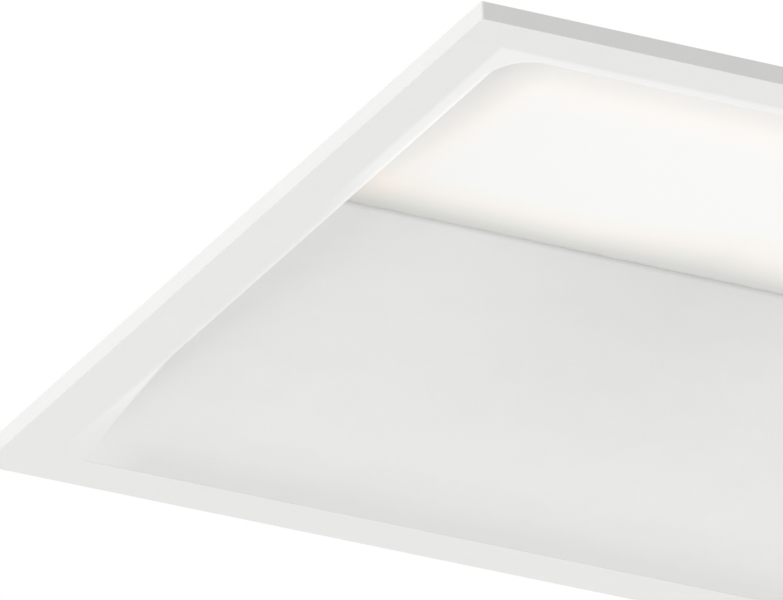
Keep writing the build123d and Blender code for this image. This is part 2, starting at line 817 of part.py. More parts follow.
with BuildPart() as housing:
    with BuildSketch(Plane.XY.offset(frame_sheet)):
        RectangleRounded(2 * flange_half, 2 * flange_half, housing_corner_radius)
    extrude(amount=housing_sheet)
    add(housing_body.part)
    with BuildSketch(Plane.XY.offset(housing_top)):
        with Locations(*roof_rib_places):
            SlotOverall(roof_rib_length, roof_rib_width)
    extrude(amount=roof_rib_height, taper=30)
    add(housing_void.part, mode=Mode.SUBTRACT)
    with BuildSketch(Plane.XY.offset(roof_underside)):
        with Locations(*roof_rib_places):
            SlotOverall(roof_rib_length - 2 * housing_sheet, roof_rib_width - 2 * housing_sheet)
    extrude(amount=roof_rib_height, taper=30, mode=Mode.SUBTRACT)
    with BuildSketch(Plane.XY.offset(roof_underside)):
        with Locations((0, opening_centre_y)):
            RectangleRounded(opening_length, opening_width, opening_corner_radius)
        with Locations((entry_x, opening_centre_y)):
            Circle(grommet_neck_radius)
    extrude(amount=housing_sheet, mode=Mode.SUBTRACT)
    with BuildSketch(Plane.XY.offset(frame_sheet)):
        with Locations(*stud_places):
            Circle(stud_radius + fit_gap)
    extrude(amount=housing_sheet, mode=Mode.SUBTRACT)
    with BuildSketch(Plane.XZ.offset(-(end_half + housing_sheet))):
        with Locations((0, vent_height)):
            with GridLocations(vent_pitch, 0, vent_count, 1):
                SlotOverall(vent_length, vent_width)
    extrude(amount=3 * housing_sheet, mode=Mode.SUBTRACT)
finish(housing.part, "housing")

with BuildPart() as frame_studs:
    with BuildSketch(Plane.XY.offset(frame_sheet)):
        with Locations(*stud_places):
            Circle(stud_radius)
    extrude(amount=stud_length)
    chamfer(edges().group_by(Axis.Z)[-1], stud_radius / 4)
finish(frame_studs.part, "frame_studs")

with BuildPart() as frame_nuts:
    with BuildSketch(Plane.XY.offset(frame_sheet + housing_sheet)):
        with Locations(*stud_places):
            RegularPolygon(nut_width / 2, 6, major_radius=False)
            Circle(stud_radius + fixed_gap, mode=Mode.SUBTRACT)
    extrude(amount=nut_height)
finish(frame_nuts.part, "frame_nuts")

# Hanger lugs: Z-shaped tabs at the roof's corners for safety wires
with BuildPart() as hanger_lugs:
    with BuildSketch(Plane.XY.offset(housing_top)):
        with Locations((0, lug_centre_y)):
            with GridLocations(2 * lug_half, lug_span - 2 * lug_width, 2, 2):
                Rectangle(lug_width, lug_width)
    extrude(amount=lug_sheet)
    with BuildSketch(Plane.XY.offset(housing_top)):
        with Locations((0, lug_centre_y)):
            with GridLocations(2 * lug_half, lug_span - lug_width - lug_sheet, 2, 2):
                Rectangle(lug_width, lug_sheet)
    extrude(amount=lug_rise)
    with BuildSketch(Plane.XY.offset(housing_top + lug_rise - lug_sheet)):
        with Locations((0, lug_centre_y)):
            with GridLocations(2 * lug_half, lug_span, 2, 2):
                Rectangle(lug_width, lug_width)
                Circle(lug_hole_radius, mode=Mode.SUBTRACT)
    extrude(amount=lug_sheet)
finish(hanger_lugs.part, "hanger_lugs")


# Light chamber: carrier plate hung from the roof, boards under it, white hopper below
with BuildPart() as led_plate:
    with BuildSketch(Plane.XY.offset(plate_underside)):
        with Locations((0, plate_centre_y)):
            RectangleRounded(plate_length, plate_width, spacer_radius)
        with Locations((feed_x, board_centres[-1])):
            Circle(feed_hole_radius, mode=Mode.SUBTRACT)
    extrude(amount=plate_thickness)
finish(led_plate.part, "led_plate")

with BuildPart() as plate_spacers:
    with BuildSketch(Plane.XY.offset(plate_underside + plate_thickness)):
        with Locations((0, plate_centre_y)):
            with GridLocations(spacer_pitch_x, 2 * board_pitch, 3, 2):
                Circle(spacer_radius)
    extrude(amount=roof_underside - plate_underside - plate_thickness)
finish(plate_spacers.part, "plate_spacers")

with BuildPart() as hopper_inside:
    with BuildSketch(Plane.XY.offset(plate_underside)):
        with Locations((0, plate_centre_y)):
            Rectangle(hopper_top_length, hopper_top_width)
    with BuildSketch(seat_plane.offset(diffuser_top + face_gap)):
        Polygon(*seat_outline(hopper_side, hopper_near, hopper_far), align=None)
    loft(ruled=True)

with BuildPart() as light_box:
    with BuildSketch(Plane.XY.offset(plate_underside)):
        with Locations((0, plate_centre_y)):
            Rectangle(hopper_top_length + hopper_wall, hopper_top_width + hopper_wall)
    with BuildSketch(seat_plane.offset(diffuser_top + face_gap)):
        Polygon(
            *seat_outline(hopper_side + hopper_sheet, hopper_near - hopper_sheet, hopper_far + hopper_sheet),
            align=None,
        )
    loft(ruled=True)
    with BuildSketch(Plane.XY.offset(plate_underside)):
        with Locations((0, plate_centre_y)):
            Rectangle(plate_length - 2 * spacer_radius, plate_width - 2 * spacer_radius)
    extrude(amount=-hopper_sheet)
    add(hopper_inside.part, mode=Mode.SUBTRACT)
finish(light_box.part, "light_box")

for number, board_y in enumerate(board_centres, start=1):
    with BuildPart() as led_board:
        with BuildSketch(Plane.XY.offset(board_underside)):
            with Locations((0, board_y)):
                RectangleRounded(board_length, board_width, board_thickness)
                with GridLocations(board_screw_pitch, 0, 3, 1):
                    Circle(screw_radius + fit_gap, mode=Mode.SUBTRACT)
        extrude(amount=board_thickness)
    finish(led_board.part, f"led_board_{number}")
    with BuildPart() as led_chips:
        with BuildSketch(Plane.XY.offset(board_underside)):
            with Locations((0, board_y)):
                with GridLocations(chip_pitch, 0, chip_count, 1):
                    Rectangle(chip_side, chip_side)
        extrude(amount=-chip_height)
    finish(led_chips.part, f"led_chips_{number}")

with BuildPart() as board_screws:
    with BuildSketch(Plane.XY.offset(board_underside)):
        with Locations(*board_screw_places):
            Circle(screw_head_radius)
    extrude(amount=-screw_head_height)
    with BuildSketch(Plane.XY.offset(board_underside)):
        with Locations(*board_screw_places):
            Circle(screw_radius)
    extrude(amount=board_thickness)
finish(board_screws.part, "board_screws")

with BuildPart() as board_connectors:
    with BuildSketch(Plane.XY.offset(board_underside)):
        with Locations(*connector_places):
            Rectangle(connector_length, connector_width)
    extrude(amount=-connector_height)
finish(board_connectors.part, "board_connectors")


def lead_plane(points):
    """Plane square to the first run of a lead."""
    return Plane(origin=points[0], z_dir=Vector(*points[1]) - Vector(*points[0]))


with BuildPart() as board_links:
    for route in link_routes:
        with BuildLine() as link_line:
            FilletPolyline(route, radius=lead_bend)
        with BuildSketch(lead_plane(route)):
            Circle(lead_radius)
        sweep(path=link_line.line)
finish(board_links.part, "board_links")


# Gear tray: a well under the roof opening, welded to the roof by its lip
with BuildPart() as gear_tray:
    with BuildSketch(Plane.XY.offset(tray_base)):
        with Locations((0, opening_centre_y)):
            RectangleRounded(tray_length, tray_width, opening_corner_radius)
    extrude(amount=roof_underside - tray_base)
    with BuildSketch(Plane.XY.offset(roof_underside - housing_sheet)):
        with Locations((0, opening_centre_y)):
            RectangleRounded(tray_length + 2 * tray_lip, tray_width + 2 * tray_lip, opening_corner_radius)
    extrude(amount=housing_sheet)
    with BuildSketch(Plane.XY.offset(tray_floor)):
        with Locations((0, opening_centre_y)):
            RectangleRounded(tray_length - 2 * housing_sheet, tray_width - 2 * housing_sheet,
                             opening_corner_radius - housing_sheet)
    extrude(amount=roof_underside - tray_floor, mode=Mode.SUBTRACT)
    with BuildSketch(Plane.XY.offset(tray_floor)):
        with Locations(*grip_places):
            Circle(2 * screw_radius + fit_gap)
    extrude(amount=grip_rise)
    with BuildSketch(Plane.XY.offset(tray_base)):
        with Locations(*grip_places, *driver_screw_places):
            Circle(screw_radius + fixed_gap)
    extrude(amount=grip_rise + housing_sheet, mode=Mode.SUBTRACT)
    with BuildSketch(Plane.XZ.offset(-opening_centre_y)):
        with Locations((feed_run_x, feed_level)):
            Circle(feed_hole_radius)
    extrude(amount=tray_width, mode=Mode.SUBTRACT)
finish(gear_tray.part, "gear_tray")

# Cable entry: rubber grommet in the roof, and a grip in line with the terminal block
with BuildPart() as cable_grommet:
    with BuildSketch(Plane.XY.offset(roof_underside - grommet_flange)):
        with Locations((entry_x, opening_centre_y)):
            Circle(grommet_flange_radius)
    extrude(amount=grommet_flange)
    with BuildSketch(Plane.XY.offset(roof_underside)):
        with Locations((entry_x, opening_centre_y)):
            Circle(grommet_neck_radius)
    extrude(amount=housing_sheet)
    with BuildSketch(Plane.XY.offset(housing_top)):
        with Locations((entry_x, opening_centre_y)):
            Circle(grommet_flange_radius)
    extrude(amount=grommet_flange)
    fillet(edges().group_by(Axis.Z)[-1], grommet_flange / 3)
    with BuildSketch(Plane.XY.offset(roof_underside - grommet_flange)):
        with Locations((entry_x, opening_centre_y)):
            Circle(entry_radius)
    extrude(amount=2 * grommet_flange + housing_sheet, mode=Mode.SUBTRACT)
finish(cable_grommet.part, "cable_grommet")

with BuildPart() as cord_grip:
    with BuildSketch(Plane.XY.offset(tray_floor + grip_rise)):
        with Locations((grip_x, opening_centre_y)):
            SlotOverall(grip_spacing + 3 * screw_head_radius, 3 * screw_radius * 2, rotation=90)
        with Locations(*grip_places):
            Circle(screw_radius + fit_gap, mode=Mode.SUBTRACT)
    extrude(amount=screw_head_height)
finish(cord_grip.part, "cord_grip")

# Terminal block with three sprung release buttons
with BuildPart() as terminal_block:
    with BuildSketch(Plane.XY.offset(tray_floor)):
        with Locations((terminal_x, opening_centre_y)):
            Rectangle(terminal_length, terminal_width)
    extrude(amount=terminal_height)
    chamfer(edges().filter_by(Axis.Z), fit_gap * 20)
    with BuildSketch(Plane.XY.offset(tray_floor + terminal_height)):
        with Locations(*button_places):
            Rectangle(button_side + 2 * button_clearance, button_side + 2 * button_clearance)
    extrude(amount=-button_well, mode=Mode.SUBTRACT)
    with BuildSketch(Plane.YZ.offset(terminal_x - terminal_length / 2)):
        with Locations(*[(y, lead_level) for _, y in button_places]):
            Circle(2 * lead_radius)
    extrude(amount=terminal_length / 4, mode=Mode.SUBTRACT)
finish(terminal_block.part, "terminal_block")

for number, place in enumerate(button_places, start=1):
    with BuildPart() as terminal_button:
        with BuildSketch(Plane.XY.offset(tray_floor + terminal_height + button_stand)):
            with Locations(place):
                Rectangle(button_side, button_side)
        extrude(amount=-(button_stand + button_well - button_travel - face_gap))
        fillet(edges().group_by(Axis.Z)[-1], button_side / 8)
        with BuildSketch(Plane.XY.offset(tray_floor + terminal_height + button_stand)):
            with Locations(place):
                Rectangle(button_side / 2, button_side / 6)
        extrude(amount=-button_side / 8, mode=Mode.SUBTRACT)
    finish(terminal_button.part, f"terminal_button_{number}")

# Earth point: stud, toothed washer, nut and lead to the terminal block
with BuildPart() as earth_stud:
    with BuildSketch(Plane.XY.offset(tray_floor)):
        with Locations((earth_x, earth_y)):
            Circle(stud_radius)
    extrude(amount=stud_length + nut_height)
    chamfer(edges().group_by(Axis.Z)[-1], stud_radius / 4)
finish(earth_stud.part, "earth_stud")

with BuildPart() as earth_lead:
    with BuildSketch(Plane.XY.offset(tray_floor)):
        with Locations((earth_x, earth_y)):
            Circle(nut_width / 2 + fit_gap)
            with Locations((0, earth_tag_length / 2)):
                Rectangle(4 * lead_radius, earth_tag_length)
        with Locations((earth_x, earth_y)):
            Circle(stud_radius + fit_gap, mode=Mode.SUBTRACT)
    extrude(amount=2 * lead_radius)
    with BuildLine() as earth_line:
        FilletPolyline(earth_route, radius=lead_bend)
    with BuildSketch(lead_plane(earth_route)):
        Circle(lead_radius)
    sweep(path=earth_line.line)
finish(earth_lead.part, "earth_lead")

with BuildPart() as earth_washer:
    with BuildSketch(Plane.XY.offset(tray_floor + 2 * lead_radius)):
        with Locations((earth_x, earth_y)):
            Circle(nut_width / 2 + housing_sheet)
            with PolarLocations(nut_width / 2 + housing_sheet, washer_teeth):
                Rectangle(housing_sheet, housing_sheet)
            Circle(stud_radius + fit_gap, mode=Mode.SUBTRACT)
    extrude(amount=housing_sheet)
finish(earth_washer.part, "earth_washer")

with BuildPart() as earth_nut:
    with BuildSketch(Plane.XY.offset(tray_floor + 2 * lead_radius + housing_sheet)):
        with Locations((earth_x, earth_y)):
            RegularPolygon(nut_width / 2, 6, major_radius=False)
            Circle(stud_radius + fixed_gap, mode=Mode.SUBTRACT)
    extrude(amount=nut_height)
finish(earth_nut.part, "earth_nut")

# Leads: mains from the terminal block to the driver, and the feed from the driver to the first board
with BuildPart() as mains_leads:
    for route in mains_routes:
        with BuildLine() as mains_line:
            FilletPolyline(route, radius=lead_bend)
        with BuildSketch(lead_plane(route)):
            Circle(lead_radius)
        sweep(path=mains_line.line)
finish(mains_leads.part, "mains_leads")

with BuildPart() as dc_leads:
    for route in feed_routes:
        with BuildLine() as feed_line:
            FilletPolyline(route, radius=lead_bend)
        with BuildSketch(lead_plane(route)):
            Circle(lead_radius)
        sweep(path=feed_line.line)
finish(dc_leads.part, "dc_leads")


# Driver: base plate, folded cover, circuit board with its parts and a terminal at each end
with BuildPart() as driver_base:
    with BuildSketch(Plane.XY.offset(tray_floor)):
        with Locations((driver_centre_x, opening_centre_y)):
            RectangleRounded(driver_length + 2 * driver_ear, driver_width, 2 * screw_radius)
        with Locations(*driver_screw_places):
            Circle(screw_radius + fit_gap, mode=Mode.SUBTRACT)
    extrude(amount=housing_sheet)
    with BuildSketch(Plane.XY.offset(tray_floor + housing_sheet)):
        with Locations((driver_centre_x, opening_centre_y)):
            with GridLocations(driver_length - 4 * driver_terminal_length, driver_width / 2, 2, 2):
                Circle(screw_radius + frame_sheet)
    extrude(amount=board_stand)
finish(driver_base.part, "driver_base")

with BuildPart() as gear_screws:
    for places, seat in ((grip_places, grip_top), (driver_screw_places, ear_top)):
        with BuildSketch(Plane.XY.offset(seat)):
            with Locations(*places):
                Circle(screw_head_radius)
        extrude(amount=screw_head_height)
        with BuildSketch(Plane.XY.offset(seat)):
            with Locations(*places):
                Circle(screw_radius)
        extrude(amount=tray_base - frame_sheet - seat)
finish(gear_screws.part, "gear_screws")

with BuildPart() as driver_board:
    with BuildSketch(Plane.XY.offset(driver_board_base)):
        with Locations((driver_centre_x, opening_centre_y)):
            Rectangle(driver_length, driver_width - 4 * housing_sheet)
    extrude(amount=board_thickness)
finish(driver_board.part, "driver_board")

with BuildPart() as driver_parts:
    with BuildSketch(Plane.XY.offset(driver_board_base + board_thickness)):
        for share, length, width in driver_blocks:
            with Locations((driver_centre_x + share * driver_length, opening_centre_y)):
                Rectangle(length, width)
    extrude(amount=driver_part_height)
    with BuildSketch(Plane.XY.offset(driver_board_base + board_thickness)):
        for share, radius in driver_cans:
            with Locations((driver_centre_x + share * driver_length, opening_centre_y)):
                Circle(radius)
    extrude(amount=driver_part_height + frame_sheet)
finish(driver_parts.part, "driver_parts")

with BuildPart() as driver_cover:
    with BuildSketch(Plane.XY.offset(tray_floor + housing_sheet)):
        with Locations((driver_centre_x, opening_centre_y)):
            Rectangle(driver_cover_length, driver_width)
    extrude(amount=driver_height)
    fillet(edges().filter_by(Axis.X).group_by(Axis.Z)[-1], 2 * housing_sheet)
    with BuildSketch(Plane.XY.offset(tray_floor + housing_sheet)):
        with Locations((driver_centre_x, opening_centre_y)):
            Rectangle(driver_cover_length - 2 * housing_sheet, driver_width - 2 * housing_sheet)
    extrude(amount=driver_height - housing_sheet, mode=Mode.SUBTRACT)
    with BuildSketch(Plane.XY.offset(driver_board_base - face_gap)):
        with Locations((driver_centre_x, opening_centre_y)):
            Rectangle(driver_length, driver_width - 3 * housing_sheet)
    extrude(amount=board_thickness + 2 * face_gap, mode=Mode.SUBTRACT)
finish(driver_cover.part, "driver_cover")

for end, name in ((-1, "driver_input_terminal"), (1, "driver_output_terminal")):
    end_x = driver_centre_x + end * (driver_length - driver_terminal_length) / 2
    with BuildPart() as driver_terminal:
        with BuildSketch(Plane.XY.offset(driver_board_base + board_thickness)):
            with Locations((end_x, opening_centre_y)):
                Rectangle(driver_terminal_length, driver_width - 6 * frame_sheet)
        extrude(amount=driver_terminal_height)
        chamfer(edges().group_by(Axis.Z)[-1], frame_sheet)
    finish(driver_terminal.part, name)


# Gear lid: lies over the roof opening, with turned-down edges and two hinge knuckles
with BuildPart() as gear_lid:
    with BuildSketch(Plane.XY.offset(lid_base)):
        with Locations((0, (lid_near + lid_far) / 2)):
            RectangleRounded(opening_length + 2 * lid_overlap, lid_far - lid_near, lid_overlap)
    extrude(amount=lid_sheet)
    with BuildSketch(Plane.XY.offset(lid_base)):
        with Locations((0, opening_centre_y + lid_edge_gap / 2)):
            RectangleRounded(lid_edge_length, lid_edge_width, lid_edge_radius)
            RectangleRounded(
                lid_edge_length - 2 * lid_sheet,
                lid_edge_width - 2 * lid_sheet,
                lid_edge_radius - lid_sheet,
                mode=Mode.SUBTRACT,
            )
        with Locations((0, opening_centre_y + opening_width / 2)):
            Rectangle(opening_length, 4 * lid_edge_gap, mode=Mode.SUBTRACT)
        with Locations((0, latch_y)):
            Rectangle(4 * cam_reach, 2 * latch_setback, mode=Mode.SUBTRACT)
    extrude(amount=-lid_edge_depth)
    with BuildSketch(Plane.XY.offset(lid_base)):
        with Locations(*[(x, (lid_far + hinge_y) / 2) for x in (-hinge_offset, hinge_offset)]):
            Rectangle(knuckle_length, hinge_y - lid_far)
    extrude(amount=lid_sheet)
    for hinge_x in (-hinge_offset, hinge_offset):
        with BuildSketch(Plane.YZ.offset(hinge_x)):
            with Locations((hinge_y, hinge_z)):
                Circle(knuckle_radius)
        extrude(amount=knuckle_length / 2, both=True)
        with BuildSketch(Plane.YZ.offset(hinge_x)):
            with Locations((hinge_y, hinge_z)):
                Circle(pin_radius + fit_gap)
        extrude(amount=knuckle_length / 2, both=True, mode=Mode.SUBTRACT)
    with BuildSketch(Plane.XY.offset(lid_base)):
        with Locations((0, latch_y)):
            Circle(latch_shaft_radius + fit_gap)
    extrude(amount=lid_sheet, mode=Mode.SUBTRACT)
finish(gear_lid.part, "gear_lid")

with BuildPart() as hinge_leaves:
    for hinge_x in (-hinge_offset, hinge_offset):
        with BuildSketch(Plane.XY.offset(housing_top)):
            with Locations((hinge_x, hinge_y + leaf_reach)):
                Rectangle(pin_length, leaf_width)
            with Locations(*[(x, hinge_y + leaf_reach / 2) for x in leaf_centres(hinge_x)]):
                Rectangle(leaf_knuckle_length, leaf_reach)
        extrude(amount=lid_sheet + lid_lift)
        for knuckle_x in leaf_centres(hinge_x):
            with BuildSketch(Plane.YZ.offset(knuckle_x)):
                with Locations((hinge_y, hinge_z)):
                    Circle(knuckle_radius)
            extrude(amount=leaf_knuckle_length / 2, both=True)
            with BuildSketch(Plane.YZ.offset(knuckle_x)):
                with Locations((hinge_y, hinge_z)):
                    Circle(pin_radius + fixed_gap)
            extrude(amount=leaf_knuckle_length / 2, both=True, mode=Mode.SUBTRACT)
finish(hinge_leaves.part, "hinge_leaves")

with BuildPart() as hinge_pins:
    for hinge_x in (-hinge_offset, hinge_offset):
        with BuildSketch(Plane.YZ.offset(hinge_x)):
            with Locations((hinge_y, hinge_z)):
                Circle(pin_radius)
        extrude(amount=pin_length / 2, both=True)
finish(hinge_pins.part, "hinge_pins")

# Latch: quarter-turn knob in the lid, with a cam that goes under the roof's edge
with BuildPart() as latch_knob:
    with BuildSketch(Plane.XY.offset(lid_base + lid_sheet)):
        with Locations((0, latch_y)):
            Circle(latch_knob_radius)
    extrude(amount=latch_knob_height)
    fillet(edges().group_by(Axis.Z)[-1], frame_sheet)
    with BuildSketch(Plane.XY.offset(lid_base + lid_sheet + latch_knob_height)):
        with Locations((0, latch_y)):
            SlotOverall(1.5 * latch_knob_radius, 2 * frame_sheet)
    extrude(amount=-latch_knob_height / 2, mode=Mode.SUBTRACT)
    with BuildSketch(Plane.XY.offset(lid_base + lid_sheet)):
        with Locations((0, latch_y)):
            Circle(latch_shaft_radius)
    extrude(amount=-(lid_sheet + lid_base - cam_base + frame_sheet))
finish(latch_knob.part, "latch_knob")

with BuildPart() as latch_cam:
    with BuildSketch(Plane.XY.offset(cam_base)):
        with Locations((0, latch_y)):
            Circle(cam_width / 2 + frame_sheet)
        with Locations((-(cam_reach - cam_width / 2) / 2, latch_y)):
            Rectangle(cam_reach - cam_width / 2, cam_width)
        with Locations((-(cam_reach - cam_width / 2), latch_y)):
            Circle(cam_width / 2)
        with Locations((0, latch_y)):
            Circle(latch_shaft_radius + fixed_gap, mode=Mode.SUBTRACT)
    extrude(amount=cam_thickness)
finish(latch_cam.part, "latch_cam")
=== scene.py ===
"""Dressed scene of a square recessed ceiling light, looked at from below its near left corner."""

import json
import logging
import math
from dataclasses import dataclass, field
from enum import Enum

import bmesh
import bpy
from mathutils import Matrix, Vector

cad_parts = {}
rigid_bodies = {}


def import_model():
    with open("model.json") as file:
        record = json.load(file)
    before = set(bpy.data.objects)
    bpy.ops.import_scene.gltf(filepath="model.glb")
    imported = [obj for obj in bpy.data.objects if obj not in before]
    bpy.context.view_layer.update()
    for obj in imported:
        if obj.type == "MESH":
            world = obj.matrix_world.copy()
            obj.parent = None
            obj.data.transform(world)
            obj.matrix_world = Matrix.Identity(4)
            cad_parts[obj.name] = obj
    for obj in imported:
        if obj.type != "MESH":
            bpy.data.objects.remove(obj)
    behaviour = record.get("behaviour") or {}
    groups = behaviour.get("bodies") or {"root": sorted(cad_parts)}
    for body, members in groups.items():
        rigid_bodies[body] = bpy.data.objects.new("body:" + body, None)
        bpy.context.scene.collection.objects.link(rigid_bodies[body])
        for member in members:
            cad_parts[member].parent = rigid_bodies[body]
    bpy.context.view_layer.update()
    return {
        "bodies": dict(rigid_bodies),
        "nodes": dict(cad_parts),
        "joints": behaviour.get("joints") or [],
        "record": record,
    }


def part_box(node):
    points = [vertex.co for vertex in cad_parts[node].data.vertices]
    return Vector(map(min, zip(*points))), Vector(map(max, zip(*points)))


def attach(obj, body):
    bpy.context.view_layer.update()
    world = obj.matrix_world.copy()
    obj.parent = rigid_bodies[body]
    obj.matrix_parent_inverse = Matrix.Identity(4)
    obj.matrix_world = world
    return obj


LOG = logging.getLogger("recessed_light")

Colour = tuple[float, float, float]
Point = tuple[float, float, float]
Stops = list[tuple[float, Colour]]
Node = bpy.types.Node
Output = str | int

WHITE: Colour = (1.0, 1.0, 1.0)
UP: Point = (0.0, 0.0, 1.0)

# Sockets of a Mix node that works on colours.
MIX_RESULT = 2
MIX_UNDER = 6
MIX_OVER = 7

NOISE_ROUGHNESS = 0.55
BOSS_SIDES = 24
BOSS_TAPER = 0.7


class Side(Enum):
    """The two hands of the fixture, as signs along X."""

    LEFT = -1
    RIGHT = 1


class Grain(Enum):
    """Direction that a sheet or bar was rolled, drawn or brushed in."""

    ALONG_X = (12.0, 900.0, 900.0)
    ALONG_Z = (900.0, 900.0, 12.0)


class Wiring:
    """The node tree of one material, built round a Principled shader."""

    def __init__(self, name: str) -> None:
        """Starts an empty tree with its shader, output and Object coordinates.

        Args:
            name: Name of the material.
        """
        self.material = bpy.data.materials.new(name)
        self.material.use_nodes = True
        self.tree = self.material.node_tree
        self.tree.nodes.clear()
        self.shader = self.add("ShaderNodeBsdfPrincipled")
        self.output = self.add("ShaderNodeOutputMaterial")
        self.link(self.shader, "BSDF", self.output, "Surface")
        self.place = self.add("ShaderNodeTexCoord")

    def add(self, kind: str, inputs: dict | None = None, **settings: object) -> Node:
        """Adds a node.

        Args:
            kind: Blender's name for the node type.
            inputs: Values for its input sockets, by name or number.
            settings: Values for the node's own properties.

        Returns:
            The new node.
        """
        node = self.tree.nodes.new(kind)
        for key, value in settings.items():
            setattr(node, key, value)
        for key, value in (inputs or {}).items():
            node.inputs[key].default_value = value
        return node

    def link(self, source: Node, out: Output, target: Node, into: Output) -> None:
        """Joins one node's output to another's input."""
        self.tree.links.new(source.outputs[out], target.inputs[into])

    def mapped(self, scale: Point) -> Node:
        """Object coordinates through a Mapping node, scaled along each axis."""
        mapping = self.add("ShaderNodeMapping", {"Scale": scale})
        self.link(self.place, "Object", mapping, "Vector")
        return mapping

    def noise(self, scale: float, detail: float = 2.0, source: Node | None = None) -> Node:
        """A noise texture on the piece's own coordinates.

        Args:
            scale: Features to the metre, or to the mapped unit.
            detail: Octaves of finer noise.
            source: Mapping node to read, or None for plain Object coordinates.

        Returns:
            The noise node.
        """
        inputs = {"Scale": scale, "Detail": detail, "Roughness": NOISE_ROUGHNESS}
        node = self.add("ShaderNodeTexNoise", inputs)
        if source is None:
            self.link(self.place, "Object", node, "Vector")
        else:
            self.link(source, "Vector", node, "Vector")
        return node

    def ramp(self, source: Node, out: Output, stops: Stops) -> Node:
        """A colour ramp over a value.

        Args:
            source: Node whose output drives the ramp.
            out: Output of that node.
            stops: Places and colours, in order.

        Returns:
            The ramp node.
        """
        node = self.add("ShaderNodeValToRGB")
        band = node.color_ramp
        while len(band.elements) < len(stops):
            band.elements.new(1.0)
        for element, (place, colour) in zip(band.elements, stops):
            element.position = place
            element.color = (*colour, 1.0)
        self.link(source, out, node, "Fac")
        return node

    @staticmethod
    def colour_output(node: Node) -> Output:
        """The output of a node that carries its colour."""
        if node.bl_idname == "ShaderNodeMix":
            return MIX_RESULT
        return 0 if node.bl_idname == "ShaderNodeMath" else "Color"

    def multiplied(self, first: Node, second: Node) -> Node:
        """One colour multiplied by another colour, or by a value.

        Args:
            first: Node that gives the colour underneath.
            second: Node that gives the colour or value laid over it.

        Returns:
            The mix node.
        """
        node = self.add("ShaderNodeMix", {0: 1.0}, data_type="RGBA", blend_type="MULTIPLY")
        self.link(first, self.colour_output(first), node, MIX_UNDER)
        self.link(second, self.colour_output(second), node, MIX_OVER)
        return node

    def coordinates(self) -> Node:
        """The piece's own coordinates, as separate X, Y and Z."""
        node = self.add("ShaderNodeSeparateXYZ")
        self.link(self.place, "Object", node, "Vector")
        return node

    def roughened(self, source: Node, out: Output, low: float, high: float) -> None:
        """Drives the shader's roughness by a value, between two levels."""
        node = self.add("ShaderNodeMapRange", {"To Min": low, "To Max": high})
        self.link(source, out, node, "Value")
        self.link(node, "Result", self.shader, "Roughness")

    def between(self, source: Node, out: Output, start: float, full: float) -> Node:
        """A value's share of the way from start to full, held between 0 and 1."""
        node = self.add("ShaderNodeMapRange", {"From Min": start, "From Max": full})
        self.link(source, out, node, "Value")
        return node

    def sums(self, operation: str, first: object, second: object = 0.0) -> Node:
        """A Math node on values or on (node, output) pairs.

        Args:
            operation: Blender's name of the operation.
            first: Number, or a pair of node and output.
            second: Number, or a pair of node and output.

        Returns:
            The Math node.
        """
        node = self.add("ShaderNodeMath", operation=operation)
        for index, value in enumerate((first, second)):
            if isinstance(value, tuple):
                self.link(value[0], value[1], node, index)
            else:
                node.inputs[index].default_value = value
        return node

    def bump(self, source: Node, out: Output, depth: float, strength: float = 1.0) -> None:
        """Joins a bump to the shader's normal.

        Args:
            source: Node that gives the height.
            out: Output of that node.
            depth: Height of the bump in metres.
            strength: Share of the bump.
        """
        node = self.add("ShaderNodeBump", {"Strength": strength, "Distance": depth})
        self.link(source, out, node, "Height")
        self.link(node, "Normal", self.shader, "Normal")

    def colour_from(self, node: Node) -> None:
        """Joins a colour to the shader's base colour."""
        self.link(node, self.colour_output(node), self.shader, "Base Color")

    def set(self, **values: object) -> None:
        """Sets constants on the shader's own sockets, with _ for a space in a name."""
        for key, value in values.items():
            self.shader.inputs[key.replace("_", " ")].default_value = value


def shade(colour: Colour, factor: float) -> Colour:
    """The colour, darkened or lightened by a factor."""
    return tuple(min(1.0, part * factor) for part in colour)


def tones(colour: Colour, *stops: tuple[float, float]) -> Stops:
    """Ramp stops in one colour, from places and factors of it."""
    return [(place, shade(colour, factor)) for place, factor in stops]


def greys(*stops: tuple[float, float]) -> Stops:
    """Ramp stops in grey, from places and levels."""
    return tones(WHITE, *stops)


# Painted shade on the panel: how much its paint is greyed, fitted to the panel's brightness in the
# photo, by share of its half width (ACROSS) and of its depth from the ridge (ALONG). The two of a
# pair are multiplied.
RIDGE_SHADE_ACROSS = greys(
    (0.0, 0.110), (0.20, 0.092), (0.37, 0.055), (0.52, 0.036), (0.75, 0.018), (0.90, 0.0)
)
RIDGE_SHADE_ALONG = greys(
    (0.0, 1.0), (0.15, 0.97), (0.30, 0.65), (0.45, 0.48), (0.60, 0.22), (0.74, 0.0)
)
CREASE_SHADE_ACROSS = greys((0.0, 1.0), (0.78, 1.0), (0.90, 0.0))
CREASE_SHADE_ALONG = greys(
    (0.80, 0.0), (0.85, 0.016), (0.89, 0.03), (0.93, 0.06), (0.96, 0.088), (1.0, 0.095)
)


